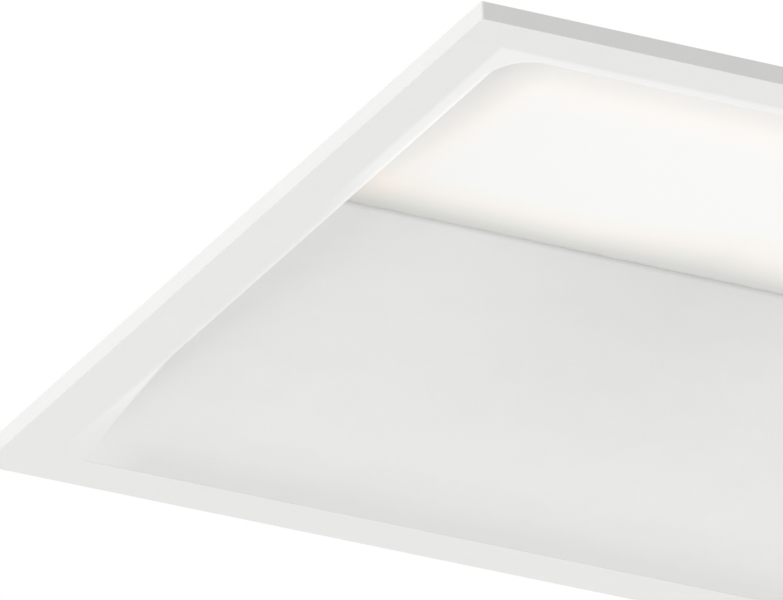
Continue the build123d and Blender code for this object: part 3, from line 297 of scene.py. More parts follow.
@dataclass(frozen=True)
class PowderCoat:
    """Baked powder paint: fine orange peel with faint mottling."""

    name: str
    colour: Colour
    mottle: float = 0.015
    roughness: float = 0.5
    roughness_swing: float = 0.06
    mottle_scale: float = 38.0
    peel: float = 0.00004
    peel_scale: float = 750.0

    def make(self) -> bpy.types.Material:
        """Builds the material."""
        wiring = Wiring(self.name)
        broad = wiring.noise(self.mottle_scale, 3.0)
        tone = wiring.ramp(broad, "Fac", tones(self.colour, (0.3, 1 - self.mottle), (0.7, 1.0)))
        fine = wiring.noise(self.peel_scale, 2.0)
        speck = wiring.ramp(fine, "Fac", greys((0.28, 1 - self.mottle), (0.72, 1.0)))
        wiring.colour_from(self.grade(wiring, wiring.multiplied(tone, speck)))
        swing = self.roughness_swing
        wiring.roughened(broad, "Fac", self.roughness - swing, self.roughness + swing)
        wiring.bump(fine, "Fac", self.peel)
        return wiring.material

    def grade(self, wiring: Wiring, coat: Node) -> Node:
        """The coat's colour as sprayed: plain paint is even all over."""
        return coat


@dataclass(frozen=True)
class RimCoatWithPaintedLight(PowderCoat):
    """Powder paint on the rim, with painted light whitening the lit half's lip and walls.

    The whitening is fitted to the rim's brightness in the photo. It stands in for light, probably
    the opal's, that falls there and that the lamps of this scene don't give. A gain of 0 gives
    plain paint.

    Attributes:
        reach: Half the rim's side.
        lip_start: Distance in from the rim's edge where the whitening starts.
        lip_full: Distance in where it is full.
        lit_start: Place along Y where the whitening starts.
        lit_full: Place along Y where it is full.
        painted_light_gain: Share added to the paint's colour where it is full.
    """

    reach: float = 0.2975
    lip_start: float = 0.0240
    lip_full: float = 0.0272
    lit_start: float = -0.060
    lit_full: float = -0.120
    painted_light_gain: float = 0.11

    def grade(self, wiring: Wiring, coat: Node) -> Node:
        """The coat's colour, with painted light whitening the lip and walls."""
        split = wiring.coordinates()
        half = wiring.sums("ABSOLUTE", (split, "X"))
        from_side = wiring.sums("SUBTRACT", self.reach, (half, 0))
        from_near = wiring.sums("ADD", (split, "Y"), self.reach)
        inward = wiring.sums("MINIMUM", (from_side, 0), (from_near, 0))
        lip = wiring.between(inward, 0, self.lip_start, self.lip_full)
        lit = wiring.between(split, "Y", self.lit_start, self.lit_full)
        share = wiring.sums("MULTIPLY", (lip, "Result"), (lit, "Result"))
        painted_light_gain = wiring.sums("MULTIPLY", (share, 0), self.painted_light_gain)
        return wiring.multiplied(coat, wiring.sums("ADD", (painted_light_gain, 0), 1.0))


@dataclass(frozen=True)
class PanelCoatWithPaintedShade(PowderCoat):
    """Powder paint on the panel, with painted shade at the ridge's middle and along the far crease.

    The greying is fitted to the panel's brightness in the photo and stands in for soft shade.
    Levels of 0 in the ramps give plain paint.

    Attributes:
        extent: Half the panel's width, and its depth from the ridge, as the ramps count them.
    """

    extent: float = 0.27

    def grade(self, wiring: Wiring, coat: Node) -> Node:
        """The coat's colour, with painted shade towards the ridge and the crease."""
        split = wiring.coordinates()
        half = wiring.sums("DIVIDE", (wiring.sums("ABSOLUTE", (split, "X")), 0), self.extent)
        along = wiring.sums("DIVIDE", (split, "Y"), self.extent)
        ridge = wiring.sums(
            "MULTIPLY",
            (wiring.ramp(half, 0, RIDGE_SHADE_ACROSS), "Color"),
            (wiring.ramp(along, 0, RIDGE_SHADE_ALONG), "Color"),
        )
        crease = wiring.sums(
            "MULTIPLY",
            (wiring.ramp(half, 0, CREASE_SHADE_ACROSS), "Color"),
            (wiring.ramp(along, 0, CREASE_SHADE_ALONG), "Color"),
        )
        kept = wiring.sums("SUBTRACT", 1.0, (wiring.sums("ADD", (ridge, 0), (crease, 0)), 0))
        return wiring.multiplied(coat, kept)


# The opal's glow, fitted to the opal's brightness in the photo: by depth in from its lit edge, by
# distance from the ridge, and how far the ridge's dim band spreads by share of the half width.
EDGE_GLOW = [
    (0.0, (0.50, 0.48, 0.43)),
    (0.23, (0.66, 0.63, 0.57)),
    (0.33, (0.74, 0.70, 0.63)),
    (0.43, (0.83, 0.765, 0.69)),
    (0.53, (0.93, 0.86, 0.775)),
    (0.63, (0.995, 0.92, 0.84)),
    (0.75, (0.995, 0.93, 0.865)),
    (0.88, (0.96, 0.935, 0.895)),
    (1.0, (0.92, 0.92, 0.90)),
]
RIDGE_GLOW = [
    (0.0, (0.16, 0.16, 0.12)),
    (0.10, (0.17, 0.17, 0.12)),
    (0.25, (0.47, 0.45, 0.37)),
    (0.33, (0.60, 0.56, 0.47)),
    (0.50, (0.86, 0.78, 0.69)),
    (0.66, (1.0, 0.91, 0.83)),
    (0.83, (1.0, 0.96, 0.88)),
    (1.0, (1.0, 1.0, 1.0)),
]
RIDGE_SPREAD = greys((0.0, 1.0), (0.18, 0.84), (0.36, 0.70), (0.60, 0.74), (1.0, 0.80))


@dataclass(frozen=True)
class OpalSheet:
    """Opal acrylic lit from behind, whose glow fades towards the edges of the light box."""

    name: str
    colour: Colour
    strength: float
    half_width: float
    near: float
    corner: float
    fade: float
    near_stretch: float
    ridge_fade: float
    grain_scale: float = 600.0
    grain_depth: float = 0.00002

    def make(self) -> bpy.types.Material:
        """Builds the material."""
        wiring = Wiring(self.name)
        grain = wiring.noise(self.grain_scale, 2.0)
        wiring.colour_from(wiring.ramp(grain, "Fac", tones(self.colour, (0.3, 0.985), (0.7, 1.0))))
        wiring.bump(grain, "Fac", self.grain_depth)
        wiring.set(Roughness=0.42, Specular_IOR_Level=0.35)
        split = wiring.coordinates()
        half = wiring.sums("ABSOLUTE", (split, "X"))
        across = wiring.sums("SUBTRACT", (half, 0), self.half_width - self.corner)
        short = wiring.sums("SUBTRACT", self.near + self.near_stretch * self.corner, (split, "Y"))
        along = wiring.sums("DIVIDE", (short, 0), self.near_stretch)
        out_x = wiring.sums("MAXIMUM", (across, 0), 0.0)
        out_y = wiring.sums("MAXIMUM", (along, 0), 0.0)
        square_x = wiring.sums("POWER", (out_x, 0), 2.0)
        square_y = wiring.sums("POWER", (out_y, 0), 2.0)
        squares = wiring.sums("ADD", (square_x, 0), (square_y, 0))
        outside = wiring.sums("SQRT", (squares, 0))
        inside = wiring.sums("MINIMUM", (wiring.sums("MAXIMUM", (across, 0), (along, 0)), 0), 0.0)
        edge = wiring.sums("ADD", (outside, 0), (inside, 0))
        inset = wiring.sums("SUBTRACT", self.corner, (edge, 0))
        rim = wiring.ramp(wiring.sums("DIVIDE", (inset, 0), self.fade), 0, EDGE_GLOW)
        spread = wiring.ramp(wiring.sums("DIVIDE", (half, 0), self.half_width), 0, RIDGE_SPREAD)
        reach = wiring.sums("MULTIPLY", (spread, "Color"), -self.ridge_fade)
        close = wiring.sums("DIVIDE", (split, "Y"), (reach, 0))
        ridge = wiring.ramp(close, 0, RIDGE_GLOW)
        wiring.link(wiring.multiplied(rim, ridge), MIX_RESULT, wiring.shader, "Emission Color")
        wiring.set(Emission_Strength=self.strength)
        return wiring.material


@dataclass(frozen=True)
class GalvanisedSheet:
    """Hot-dip galvanised steel: soft spangle, faint streaks and dulled zinc."""

    name: str
    colour: Colour
    spangle: float = 85.0
    roughness: float = 0.46
    warp_scale: float = 60.0
    warp: float = 0.012
    streak_scale: Point = (14.0, 160.0, 90.0)
    fine_scale: float = 900.0
    fine_depth: float = 0.00002

    def make(self) -> bpy.types.Material:
        """Builds the material."""
        wiring = Wiring(self.name)
        warp = wiring.noise(self.warp_scale, 2.0)
        shifted = wiring.add("ShaderNodeVectorMath", operation="MULTIPLY_ADD")
        shifted.inputs[1].default_value = (self.warp, self.warp, self.warp)
        wiring.link(warp, "Color", shifted, 0)
        wiring.link(wiring.place, "Object", shifted, 2)
        cells = wiring.add("ShaderNodeTexVoronoi", {"Scale": self.spangle}, feature="F1")
        wiring.link(shifted, "Vector", cells, "Vector")
        grey = wiring.ramp(cells, "Color", tones(self.colour, (0.0, 0.88), (1.0, 1.08)))
        streaks = wiring.noise(1.0, 3.0, wiring.mapped(self.streak_scale))
        wash = wiring.ramp(streaks, "Fac", [(0.3, (0.93, 0.94, 0.95)), (0.7, WHITE)])
        wiring.colour_from(wiring.multiplied(grey, wash))
        wiring.roughened(cells, "Color", self.roughness - 0.09, self.roughness + 0.1)
        fine = wiring.noise(self.fine_scale, 2.0)
        wiring.bump(fine, "Fac", self.fine_depth)
        wiring.set(Metallic=0.85)
        return wiring.material


@dataclass(frozen=True)
class BrushedMetal:
    """Drawn, rolled or plated metal with fine lines along its grain."""

    name: str
    colour: Colour
    grain: Grain = Grain.ALONG_X
    roughness: float = 0.34
    metallic: float = 0.9
    patch_scale: float = 45.0
    line_depth: float = 0.00001

    def make(self) -> bpy.types.Material:
        """Builds the material."""
        wiring = Wiring(self.name)
        lines = wiring.noise(1.0, 2.0, wiring.mapped(self.grain.value))
        tone = wiring.ramp(lines, "Fac", tones(self.colour, (0.3, 0.9), (0.7, 1.05)))
        patches = wiring.noise(self.patch_scale, 2.0)
        wash = wiring.ramp(patches, "Fac", greys((0.35, 0.94), (0.65, 1.0)))
        wiring.colour_from(wiring.multiplied(tone, wash))
        wiring.roughened(lines, "Fac", self.roughness - 0.08, self.roughness + 0.1)
        wiring.bump(lines, "Fac", self.line_depth)
        wiring.set(Metallic=self.metallic)
        return wiring.material


@dataclass(frozen=True)
class Moulding:
    """Moulded plastic or rubber with a fine spark-eroded grain."""

    name: str
    colour: Colour
    roughness: float = 0.5
    grain: float = 1100.0
    depth: float = 0.00003
    coat: float = 0.0
    broad_scale: float = 70.0
    roughness_swing: float = 0.07

    def make(self) -> bpy.types.Material:
        """Builds the material."""
        wiring = Wiring(self.name)
        broad = wiring.noise(self.broad_scale, 2.0)
        wiring.colour_from(wiring.ramp(broad, "Fac", tones(self.colour, (0.3, 0.93), (0.7, 1.03))))
        swing = self.roughness_swing
        wiring.roughened(broad, "Fac", self.roughness - swing, self.roughness + swing)
        fine = wiring.noise(self.grain, 2.0)
        wiring.bump(fine, "Fac", self.depth)
        wiring.set(Coat_Weight=self.coat, Coat_Roughness=0.15)
        return wiring.material


@dataclass(frozen=True)
class Foam:
    """Closed-cell foam with open pores at its cut faces."""

    name: str
    colour: Colour
    pores: float = 900.0
    pore_depth: float = 0.0002

    def make(self) -> bpy.types.Material:
        """Builds the material."""
        wiring = Wiring(self.name)
        cells = wiring.add("ShaderNodeTexVoronoi", {"Scale": self.pores}, feature="F1")
        wiring.link(wiring.place, "Object", cells, "Vector")
        tone = wiring.ramp(cells, "Distance", tones(self.colour, (0.0, 0.82), (0.5, 1.0)))
        wiring.colour_from(tone)
        wiring.bump(cells, "Distance", self.pore_depth)
        wiring.set(Roughness=0.9)
        return wiring.material


@dataclass(frozen=True)
class SolderMask:
    """Printed board: solder mask with the tracks showing faintly through it."""

    name: str
    mask: Colour
    track: Colour
    pitch: float = 260.0
    patch_scale: float = 90.0
    step_depth: float = 0.00003

    def make(self) -> bpy.types.Material:
        """Builds the material."""
        wiring = Wiring(self.name)
        steps = wiring.add(
            "ShaderNodeTexBrick", {"Scale": self.pitch, "Mortar Size": 0.09, "Mortar Smooth": 0.1}
        )
        steps.inputs["Color1"].default_value = (*self.mask, 1.0)
        steps.inputs["Color2"].default_value = (*shade(self.mask, 0.95), 1.0)
        steps.inputs["Mortar"].default_value = (*self.track, 1.0)
        wiring.link(wiring.place, "Object", steps, "Vector")
        patches = wiring.noise(self.patch_scale, 2.0)
        wash = wiring.ramp(patches, "Fac", greys((0.35, 0.94), (0.65, 1.0)))
        wiring.colour_from(wiring.multiplied(steps, wash))
        wiring.bump(steps, "Fac", self.step_depth, 0.6)
        wiring.set(Roughness=0.32, Coat_Weight=0.3, Coat_Roughness=0.1)
        return wiring.material


@dataclass(frozen=True)
class Sleeving:
    """Lead insulation in two colours, told apart by a plane between the leads or by a stripe."""

    name: str
    first: Colour
    second: Colour
    normal: Point
    place: float
    stripe: float = 0.0
    plane_steepness: float = 4000.0
    stripe_steepness: float = 8.0
    grain_scale: float = 500.0
    grain_depth: float = 0.00002

    def make(self) -> bpy.types.Material:
        """Builds the material."""
        wiring = Wiring(self.name)
        dot = wiring.add("ShaderNodeVectorMath", operation="DOT_PRODUCT")
        dot.inputs[1].default_value = self.normal
        wiring.link(wiring.place, "Object", dot, 0)
        value = wiring.sums("SUBTRACT", (dot, "Value"), self.place)
        if self.stripe:
            value = wiring.sums("SINE", (wiring.sums("MULTIPLY", (dot, "Value"), self.stripe), 0))
        steepness = self.stripe_steepness if self.stripe else self.plane_steepness
        steep = wiring.sums("MULTIPLY_ADD", (value, 0), steepness)
        steep.inputs[2].default_value = 0.5
        pair = wiring.ramp(steep, 0, [(0.0, self.first), (1.0, self.second)])
        fine = wiring.noise(self.grain_scale, 2.0)
        wash = wiring.ramp(fine, "Fac", greys((0.3, 0.92), (0.7, 1.0)))
        wiring.colour_from(wiring.multiplied(pair, wash))
        wiring.bump(fine, "Fac", self.grain_depth)
        wiring.set(Roughness=0.4)
        return wiring.material


FINISHES = {
    "rim_white": RimCoatWithPaintedLight("rim_white", (0.80, 0.80, 0.79), mottle=0.02),
    "panel_white": PanelCoatWithPaintedShade("panel_white", (0.801, 0.80, 0.786), mottle=0.02, roughness=0.6),
    "opal": OpalSheet(
        "opal",
        colour=(0.60, 0.60, 0.59),
        strength=0.330,
        half_width=0.2465,
        near=-0.262,
        corner=0.036,
        fade=0.050,
        near_stretch=1.65,
        ridge_fade=0.080,
    ),
    "seal_grey": Moulding("seal_grey", (0.66, 0.66, 0.635), roughness=0.8),
    "foam": Foam("foam", (0.78, 0.78, 0.75)),
    "bar_aluminium": BrushedMetal("bar_aluminium", (0.76, 0.76, 0.77), Grain.ALONG_X),
    "hopper_white": PowderCoat("hopper_white", (0.86, 0.86, 0.85), roughness=0.3, mottle=0.01),
    "sheet_zinc": GalvanisedSheet("sheet_zinc", (0.60, 0.61, 0.62)),
    "screw_zinc": BrushedMetal("screw_zinc", (0.70, 0.70, 0.70), Grain.ALONG_Z, roughness=0.3),
    "board_white": SolderMask("board_white", (0.80, 0.81, 0.80), (0.70, 0.72, 0.70), pitch=40.0),
    "board_green": SolderMask("board_green", (0.02, 0.12, 0.05), (0.05, 0.25, 0.1)),
    "chip_phosphor": Moulding("chip_phosphor", (0.85, 0.62, 0.12), roughness=0.2, coat=0.5),
    "connector_nylon": Moulding("connector_nylon", (0.76, 0.75, 0.70), roughness=0.45),
    "driver_white": PowderCoat("driver_white", (0.74, 0.75, 0.75), roughness=0.4),
    "gear_dark": Moulding("gear_dark", (0.03, 0.03, 0.034), roughness=0.42),
    "terminal_grey": Moulding("terminal_grey", (0.60, 0.60, 0.58), roughness=0.45),
    "button_orange": Moulding("button_orange", (0.80, 0.16, 0.02), roughness=0.3, coat=0.2),
    "grommet_black": Moulding("grommet_black", (0.014, 0.014, 0.014), roughness=0.62),
    "earth_brass": BrushedMetal("earth_brass", (0.62, 0.45, 0.17), Grain.ALONG_Z, roughness=0.3),
    "mains_insulation": Sleeving(
        "mains_insulation",
        (0.15, 0.05, 0.02),
        (0.02, 0.10, 0.45),
        normal=(0.0, 1.0, 0.0),
        place=0.158,
    ),
    "earth_insulation": Sleeving(
        "earth_insulation",
        (0.05, 0.32, 0.05),
        (0.75, 0.68, 0.04),
        normal=(0.6, 0.8, 0.3),
        place=0.0,
        stripe=700.0,
    ),
    "feed_insulation": Sleeving(
        "feed_insulation",
        (0.02, 0.02, 0.02),
        (0.60, 0.03, 0.02),
        normal=(1.0, 0.0, 0.0),
        place=0.209,
    ),
}


@dataclass
class FinishShop:
    """Makes each finish once and lays it on the nodes that the record gives it to."""

    made: dict[str, bpy.types.Material] = field(default_factory=dict)

    def material(self, slot: str) -> bpy.types.Material:
        """The finish of one of the record's material slots."""
        if slot not in self.made:
            self.made[slot] = FINISHES[slot].make()
        return self.made[slot]

    def dress(self, node: bpy.types.Object, slot: str) -> None:
        """Gives a carried-over node its finish.

        Args:
            node: The node's object.
            slot: Its material slot in the record.
        """
        material = self.material(slot)
        if not node.material_slots:
            node.data.materials.append(material)
        for place in node.material_slots:
            place.material = material

    def dress_all(self, frame: dict) -> None:
        """Gives every node of the frame its finish."""
        for part in frame["record"]["subparts"]:
            self.dress(frame["nodes"][part["node"]], part["material_slot"])
            LOG.info("dressed %s in %s", part["node"], part["material_slot"])


class Stock:
    """Raw forms that a fine piece is built from, gathered into one mesh."""

    def __init__(self) -> None:
        """Starts with nothing."""
        self.mesh = bmesh.new()

    def boss(self, foot: Point, radius: float, height: float, aim: Point = UP) -> None:
        """Adds a low round boss that narrows to its top.

        Args:
            foot: Middle of its foot.
            radius: Radius of its foot.
            height: How far it stands out.
            aim: Direction that it stands out in.
        """
        turn = Vector(UP).rotation_difference(Vector(aim)).to_matrix().to_4x4()
        middle = Vector(foot) + Vector(aim) * height / 2
        bmesh.ops.create_cone(
            self.mesh,
            cap_ends=True,
            segments=BOSS_SIDES,
            radius1=radius,
            radius2=BOSS_TAPER * radius,
            depth=height,
            matrix=Matrix.Translation(middle) @ turn,
        )

    def slab(self, low: Point, high: Point, turn: Matrix | None = None) -> None:
        """Adds a block between two corners.

        Args:
            low: Lowest corner.
            high: Highest corner.
            turn: Matrix that moves it afterwards, or None.
        """
        middle = (Vector(low) + Vector(high)) / 2
        stretch = Matrix.Diagonal((*(Vector(high) - Vector(low)), 1.0))
        place = Matrix.Translation(middle) @ stretch
        bmesh.ops.create_cube(self.mesh, size=1.0, matrix=turn @ place if turn else place)

    def bead(self, run: list[Vector], radius: float, sides: int = 10) -> None:
        """Adds a round bead along a run of points, with capped ends.

        Args:
            run: Points of its middle line.
            radius: Radius of its cross-section.
            sides: Sides of its cross-section.
        """
        rings = []
        for index, point in enumerate(run):
            before = run[max(index - 1, 0)]
            after = run[min(index + 1, len(run) - 1)]
            along = (after - before).normalized()
            across = along.cross(Vector(UP)).normalized()
            rise = across.cross(along)
            ring = []
            for side in range(sides):
                angle = 2 * math.pi * side / sides
                spoke = math.cos(angle) * across + math.sin(angle) * rise
                ring.append(self.mesh.verts.new(point + radius * spoke))
            rings.append(ring)
        for first, second in zip(rings, rings[1:]):
            for side in range(sides):
                last = (side + 1) % sides
                self.mesh.faces.new((first[side], first[last], second[last], second[side]))
        self.mesh.faces.new(rings[0])
        self.mesh.faces.new(rings[-1])

    def finish(self, name: str, shop: FinishShop, slot: str, body: str) -> None:
        """Makes the object and hangs it on its body.

        Args:
            name: Name of the piece.
            shop: Where its finish comes from.
            slot: Material slot in the record.
            body: Body that it moves with.
        """
        bmesh.ops.recalc_face_normals(self.mesh, faces=self.mesh.faces)
        data = bpy.data.meshes.new(name)
        self.mesh.to_mesh(data)
        self.mesh.free()
        data.materials.append(shop.material(slot))
        piece = bpy.data.objects.new(name, data)
        bpy.context.collection.objects.link(piece)
        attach(piece, body)
        LOG.info("built %s", name)


@dataclass(frozen=True)
class BackBoxTrim:
    """What the sheet-metal shop leaves on the back box.

    That is weld marks, lapped corners, seams and a blank plate. Lengths are in metres.
    """

    shop: FinishShop
    sheet: float = 0.0008
    flank_setback: float = 0.0275
    end_setback: float = 0.0175
    flank_run: float = 0.0375
    near_run: float = 0.098
    flank_shoulder: float = 0.039
    near_shoulder: float = 0.019
    corner_round: float = 0.006
    lug_side: float = 0.020
    lug_sheet: float = 0.0012
    mark_radius: float = 0.0021
    mark_height: float = 0.0003
    mark_pitch: float = 0.010
    leaf_offset: float = 0.140
    tab_width: float = 0.016
    tab_welds: tuple[float, ...] = (0.2, 0.5, 0.8)
    seam_radius: float = 0.0010
    plate_low: tuple[float, float] = (-0.045, 0.018)
    plate_high: tuple[float, float] = (0.045, 0.062)
    plate_sheet: float = 0.0004
    plate_border: float = 0.0012

    @property
    def flank(self) -> float:
        """Half width of the box between its upright flanks."""
        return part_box("front_frame")[1][0] - self.flank_setback

    @property
    def end(self) -> float:
        """Half depth of the box between its near and far walls."""
        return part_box("front_frame")[1][1] - self.end_setback

    @property
    def roof(self) -> float:
        """Height of the roof's upper face."""
        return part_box("gear_tray")[1][2] + self.sheet

    def weld_marks(self) -> None:
        """Spot welds on the hanger lugs' feet and on the hinge leaves."""
        stock = Stock()
        low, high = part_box("hanger_lugs")
        shifts = (-self.mark_pitch / 2, self.mark_pitch / 2)
        for x in (low[0] + self.lug_side / 2, high[0] - self.lug_side / 2):
            for y in (low[1] + 1.5 * self.lug_side, high[1] - 1.5 * self.lug_side):
                for shift in shifts:
                    foot = (x + shift, y, self.roof + self.lug_sheet)
                    stock.boss(foot, self.mark_radius, self.mark_height)
        low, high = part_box("hinge_leaves")
        for side in Side:
            for shift in shifts:
                x = side.value * self.leaf_offset + 2 * shift
                foot = (x, high[1] - self.mark_pitch / 2, low[2] + self.lug_sheet)
                stock.boss(foot, self.mark_radius, self.mark_height)
        stock.finish("weld_marks", self.shop, "sheet_zinc", "fixture")

    def corner_tabs(self) -> None:
        """Lapped tabs of the far wall on both flanks, each with its welds."""
        for side in Side:
            stock = Stock()
            far = self.end - self.corner_round
            inner = side.value * self.flank
            outer = side.value * (self.flank + self.sheet)
            foot, head = 4 * self.sheet, self.flank_shoulder - 2 * self.sheet
            low = (min(inner, outer), far - self.tab_width, foot)
            stock.slab(low, (max(inner, outer), far, head))
            for share in self.tab_welds:
                place = (outer, far - self.tab_width / 2, foot + share * (head - foot))
                stock.boss(place, self.mark_radius, self.mark_height, (side.value, 0.0, 0.0))
            stock.finish(f"corner_tab_{side.name.lower()}", self.shop, "sheet_zinc", "fixture")

    def seams(self) -> None:
        """Brazed beads along the hips and along the far wall's sloped edges."""
        near_slope = (self.roof - self.near_shoulder) / self.near_run
        bend = self.end - (self.flank_shoulder - self.near_shoulder) / near_slope
        start = self.end - self.corner_round
        start_level = self.near_shoulder + self.corner_round * near_slope
        for side in Side:
            flank = side.value * self.flank
            ridge = side.value * (self.flank - self.flank_run)
            hip = [
                Vector((flank, -start, start_level)),
                Vector((flank, -bend, self.flank_shoulder)),
                Vector((ridge, -(self.end - self.near_run), self.roof)),
            ]
            slope = [
                Vector((flank, self.end, self.flank_shoulder)),
                Vector((ridge, self.end, self.roof)),
            ]
            stock = Stock()
            for run in (hip, slope):
                stock.bead(run, self.seam_radius)
            stock.finish(f"seam_{side.name.lower()}", self.shop, "sheet_zinc", "fixture")

    def blank_plate(self) -> None:
        """Riveted plate on the roof, left blank, with a raised border."""
        stock = Stock()
        (x0, y0), (x1, y1) = self.plate_low, self.plate_high
        top = self.roof + self.plate_sheet
        stock.slab((x0, y0, self.roof), (x1, y1, top))
        edge, crest = self.plate_border, top + self.plate_sheet / 2
        for low, high in (
            ((x0, y0), (x1, y0 + edge)),
            ((x0, y1 - edge), (x1, y1)),
            ((x0, y0 + edge), (x0 + edge, y1 - edge)),
            ((x1 - edge, y0 + edge), (x1, y1 - edge)),
        ):
            stock.slab((*low, top), (*high, crest))
        stock.finish("blank_plate", self.shop, "bar_aluminium", "fixture")
        rivets = Stock()
        for x in (x0 + 4 * edge, x1 - 4 * edge):
            for y in (y0 + 4 * edge, y1 - 4 * edge):
                rivets.boss((x, y, top), self.mark_radius, 2 * self.mark_height)
        rivets.finish("plate_rivets", self.shop, "screw_zinc", "fixture")

    def build(self) -> None:
        """Builds all of it."""
        self.weld_marks()
        self.corner_tabs()
        self.seams()
        self.blank_plate()


@dataclass(frozen=True)
class GearTrim:
    """Small details of the gear: the latch's grip and the driver's blank label, in metres."""

    shop: FinishShop
    grip_ribs: int = 28
    rib_width: float = 0.0008
    rib_height: float = 0.00035
    grip_top: float = 0.0012
    grip_foot: float = 0.0036
    label_sheet: float = 0.0002
    label_inset: float = 0.016
    label_bars: int = 4
    bar_height: float = 0.00008
    bar_base: float = 0.5
    bar_step: float = 0.12

    def latch_grip(self) -> None:
        """Ribs round the latch knob, for the fingers."""
        stock = Stock()
        low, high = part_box("latch_knob")
        middle = Vector(((low[0] + high[0]) / 2, (low[1] + high[1]) / 2, 0.0))
        radius = (high[0] - low[0]) / 2
        head = high[2] - self.grip_top
        foot = max(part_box("gear_lid")[1][2], high[2] - self.grip_foot)
        for rib in range(self.grip_ribs):
            angle = 2 * math.pi * rib / self.grip_ribs
            turn = Matrix.Translation(middle) @ Matrix.Rotation(angle, 4, "Z")
            stock.slab(
                (radius - self.rib_height, -self.rib_width / 2, foot),
                (radius + self.rib_height, self.rib_width / 2, head),
                turn,
            )
        stock.finish("latch_grip", self.shop, "gear_dark", "lid_latch")

    def driver_label(self) -> None:
        """Blank label on the driver's cover, with ruled bars and no words."""
        low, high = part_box("driver_cover")
        stock = Stock()
        x0, x1 = low[0] + self.label_inset, high[0] - self.label_inset
        y0, y1 = low[1] + self.label_inset / 2, high[1] - self.label_inset / 2
        top = high[2] + self.label_sheet
        stock.slab((x0, y0, high[2]), (x1, y1, top))
        stock.finish("driver_label", self.shop, "terminal_grey", "fixture")
        bars = Stock()
        pitch = (y1 - y0) / (self.label_bars + 1)
        for bar in range(1, self.label_bars + 1):
            y = y0 + bar * pitch
            reach = (x1 - x0) * (self.bar_base + self.bar_step * bar)
            crest = top + self.bar_height
            bars.slab((x0 + pitch, y - pitch / 6, top), (x0 + reach, y + pitch / 6, crest))
        bars.finish("driver_label_bars", self.shop, "gear_dark", "fixture")

    def build(self) -> None:
        """Builds both."""
        self.latch_grip()
        self.driver_label()


# Soft boxes: name, place in metres, side in metres, power in watts.
SOFT_BOXES = (
    ("left_box", (-4.0, 0.0, -1.35), 2.6, 78.0),
    ("right_box", (4.0, 0.4, -1.5), 2.6, 95.0),
    ("top_box", (1.4, 1.2, 3.6), 2.4, 65.0),
)


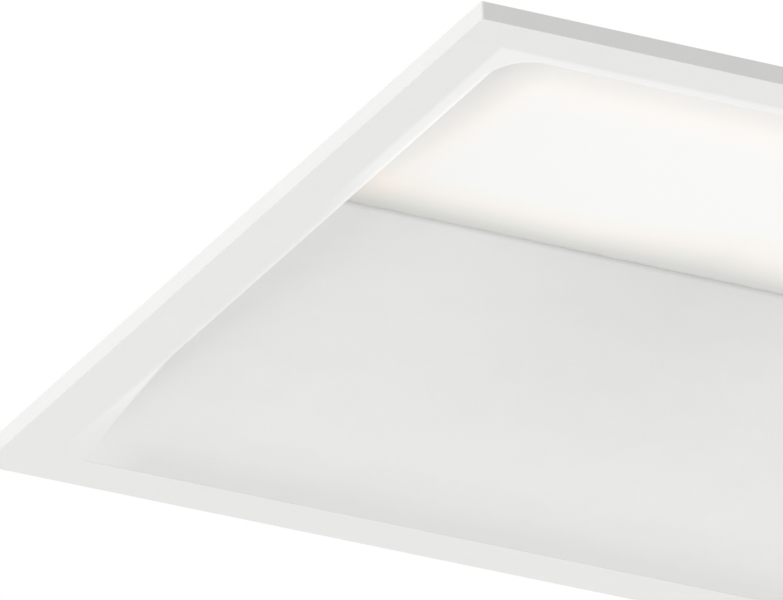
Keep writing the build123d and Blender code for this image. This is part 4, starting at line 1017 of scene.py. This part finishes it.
@dataclass(frozen=True)
class Studio:
    """Plain studio: pale floor, white surroundings, soft lamps and the camera."""

    floor_half: float = 20.0
    floor_level: float = -0.0006
    floor_grey: float = 0.86
    floor_fade_start: float = 0.8
    floor_fade_full: float = 3.0
    ambient: float = 0.72
    glow_drop: float = 0.006
    glow_inset: float = 0.050
    glow_power: float = 0.6
    aim: Point = (0.0, 0.0, 0.03)
    focal_length: float = 990.63
    sensor_width: float = 36.0
    clip_start: float = 0.5
    clip_end: float = 60.0
    camera_place: Point = (-5.3821, -9.3238, -5.42435)
    camera_rows: tuple[Point, Point, Point] = (
        (0.881566, -0.186719, -0.433564),
        (-0.470853, -0.413460, -0.779325),
        (-0.033746, 0.891172, -0.452410),
    )

    def surroundings(self) -> None:
        """Sets the world: white where it is seen or reflected, a plain level for the rest."""
        world = bpy.data.worlds.new("studio_world")
        bpy.context.scene.world = world
        world.use_nodes = True
        tree = world.node_tree
        tree.nodes.clear()
        path = tree.nodes.new("ShaderNodeLightPath")
        white_to = path.outputs["Is Camera Ray"]
        for kind in ("Is Transmission Ray", "Is Glossy Ray"):
            either = tree.nodes.new("ShaderNodeMath")
            either.operation = "MAXIMUM"
            tree.links.new(white_to, either.inputs[0])
            tree.links.new(path.outputs[kind], either.inputs[1])
            white_to = either.outputs[0]
        mix = tree.nodes.new("ShaderNodeMixShader")
        tree.links.new(white_to, mix.inputs["Fac"])
        for socket, strength in ((1, self.ambient), (2, 1.0)):
            light = tree.nodes.new("ShaderNodeBackground")
            light.inputs["Color"].default_value = (*WHITE, 1.0)
            light.inputs["Strength"].default_value = strength
            tree.links.new(light.outputs[0], mix.inputs[socket])
        output = tree.nodes.new("ShaderNodeOutputWorld")
        tree.links.new(mix.outputs[0], output.inputs["Surface"])

    def floor_material(self) -> bpy.types.Material:
        """Pale floor that shows from above only, so that it never hides the fixture from below."""
        wiring = Wiring("studio_floor")
        grey = self.floor_grey
        wiring.set(Base_Color=(grey, grey, grey, 1.0), Roughness=0.9)
        reach = wiring.add("ShaderNodeVectorMath", operation="LENGTH")
        wiring.link(wiring.place, "Object", reach, 0)
        far = wiring.between(reach, "Value", self.floor_fade_start, self.floor_fade_full)
        white = wiring.add("ShaderNodeEmission", {"Color": (*WHITE, 1.0), "Strength": 1.0})
        pale = wiring.add("ShaderNodeMixShader")
        wiring.link(far, "Result", pale, 0)
        wiring.link(wiring.shader, "BSDF", pale, 1)
        wiring.link(white, "Emission", pale, 2)
        path = wiring.add("ShaderNodeLightPath")
        geometry = wiring.add("ShaderNodeNewGeometry")
        front = wiring.sums("SUBTRACT", 1.0, (geometry, "Backfacing"))
        shown = wiring.sums("MULTIPLY", (front, 0), (path, "Is Camera Ray"))
        clear = wiring.add("ShaderNodeBsdfTransparent")
        mix = wiring.add("ShaderNodeMixShader")
        wiring.link(shown, 0, mix, 0)
        wiring.link(clear, "BSDF", mix, 1)
        wiring.link(pale, 0, mix, 2)
        wiring.link(mix, 0, wiring.output, "Surface")
        return wiring.material

    def floor(self) -> None:
        """Lays the floor just under the rim's face."""
        sheet = bmesh.new()
        bmesh.ops.create_grid(
            sheet,
            x_segments=2,
            y_segments=2,
            size=self.floor_half,
            matrix=Matrix.Translation((0.0, 0.0, self.floor_level)),
        )
        mesh = bpy.data.meshes.new("studio_floor")
        sheet.to_mesh(mesh)
        sheet.free()
        mesh.materials.append(self.floor_material())
        plane = bpy.data.objects.new("studio_floor", mesh)
        bpy.context.collection.objects.link(plane)

    @staticmethod
    def lamp(
        name: str, place: Point, size: tuple[float, float], power: float, target: Point
    ) -> None:
        """Adds a lamp with an even rectangular face.

        Args:
            name: Name of the lamp.
            place: Where it stands, in metres.
            size: Its width and height.
            power: Its power in watts.
            target: Point that it faces.
        """
        data = bpy.data.lights.new(name, "AREA")
        data.shape = "RECTANGLE"
        data.size, data.size_y = size
        data.energy = power
        data.use_shadow = True
        lamp = bpy.data.objects.new(name, data)
        lamp.location = place
        lamp.rotation_mode = "QUATERNION"
        lamp.rotation_quaternion = (Vector(target) - Vector(place)).to_track_quat("-Z", "Y")
        lamp.visible_glossy = False
        lamp.visible_camera = False
        bpy.context.collection.objects.link(lamp)

    def lamps(self) -> None:
        """Stands the soft boxes, and the diffuser's own glow just under it."""
        for name, place, side, power in SOFT_BOXES:
            self.lamp(name, place, (side, side), power, self.aim)
        low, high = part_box("diffuser")
        middle = Vector([(below + above) / 2 for below, above in zip(low, high)])
        down = Vector((0.0, high[2] - low[2], low[1] - high[1])).normalized()
        place = middle + self.glow_drop * down
        size = (high[0] - low[0] - self.glow_inset, high[1] - low[1] - self.glow_inset)
        self.lamp("glow", place, size, self.glow_power, place + down)

    def camera(self) -> None:
        """Sets the camera up at the photograph's viewing angle."""
        data = bpy.data.cameras.new("camera")
        data.lens = self.focal_length
        data.sensor_width = self.sensor_width
        data.clip_start = self.clip_start
        data.clip_end = self.clip_end
        camera = bpy.data.objects.new("camera", data)
        turn = Matrix(self.camera_rows).to_4x4()
        camera.matrix_world = Matrix.Translation(self.camera_place) @ turn
        bpy.context.collection.objects.link(camera)
        bpy.context.scene.camera = camera

    def build(self) -> None:
        """Builds the whole studio."""
        self.surroundings()
        self.floor()
        self.lamps()
        self.camera()
        bpy.context.scene.view_settings.view_transform = "Standard"
        LOG.info("studio is up")


def main() -> None:
    """Loads the frame, dresses it, and builds the fine pieces and the studio."""
    logging.basicConfig(level=logging.INFO, format="%(name)s: %(message)s")
    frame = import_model()
    Studio().build()
    shop = FinishShop()
    shop.dress_all(frame)
    BackBoxTrim(shop).build()
    GearTrim(shop).build()


if __name__ == "__main__":
    main()
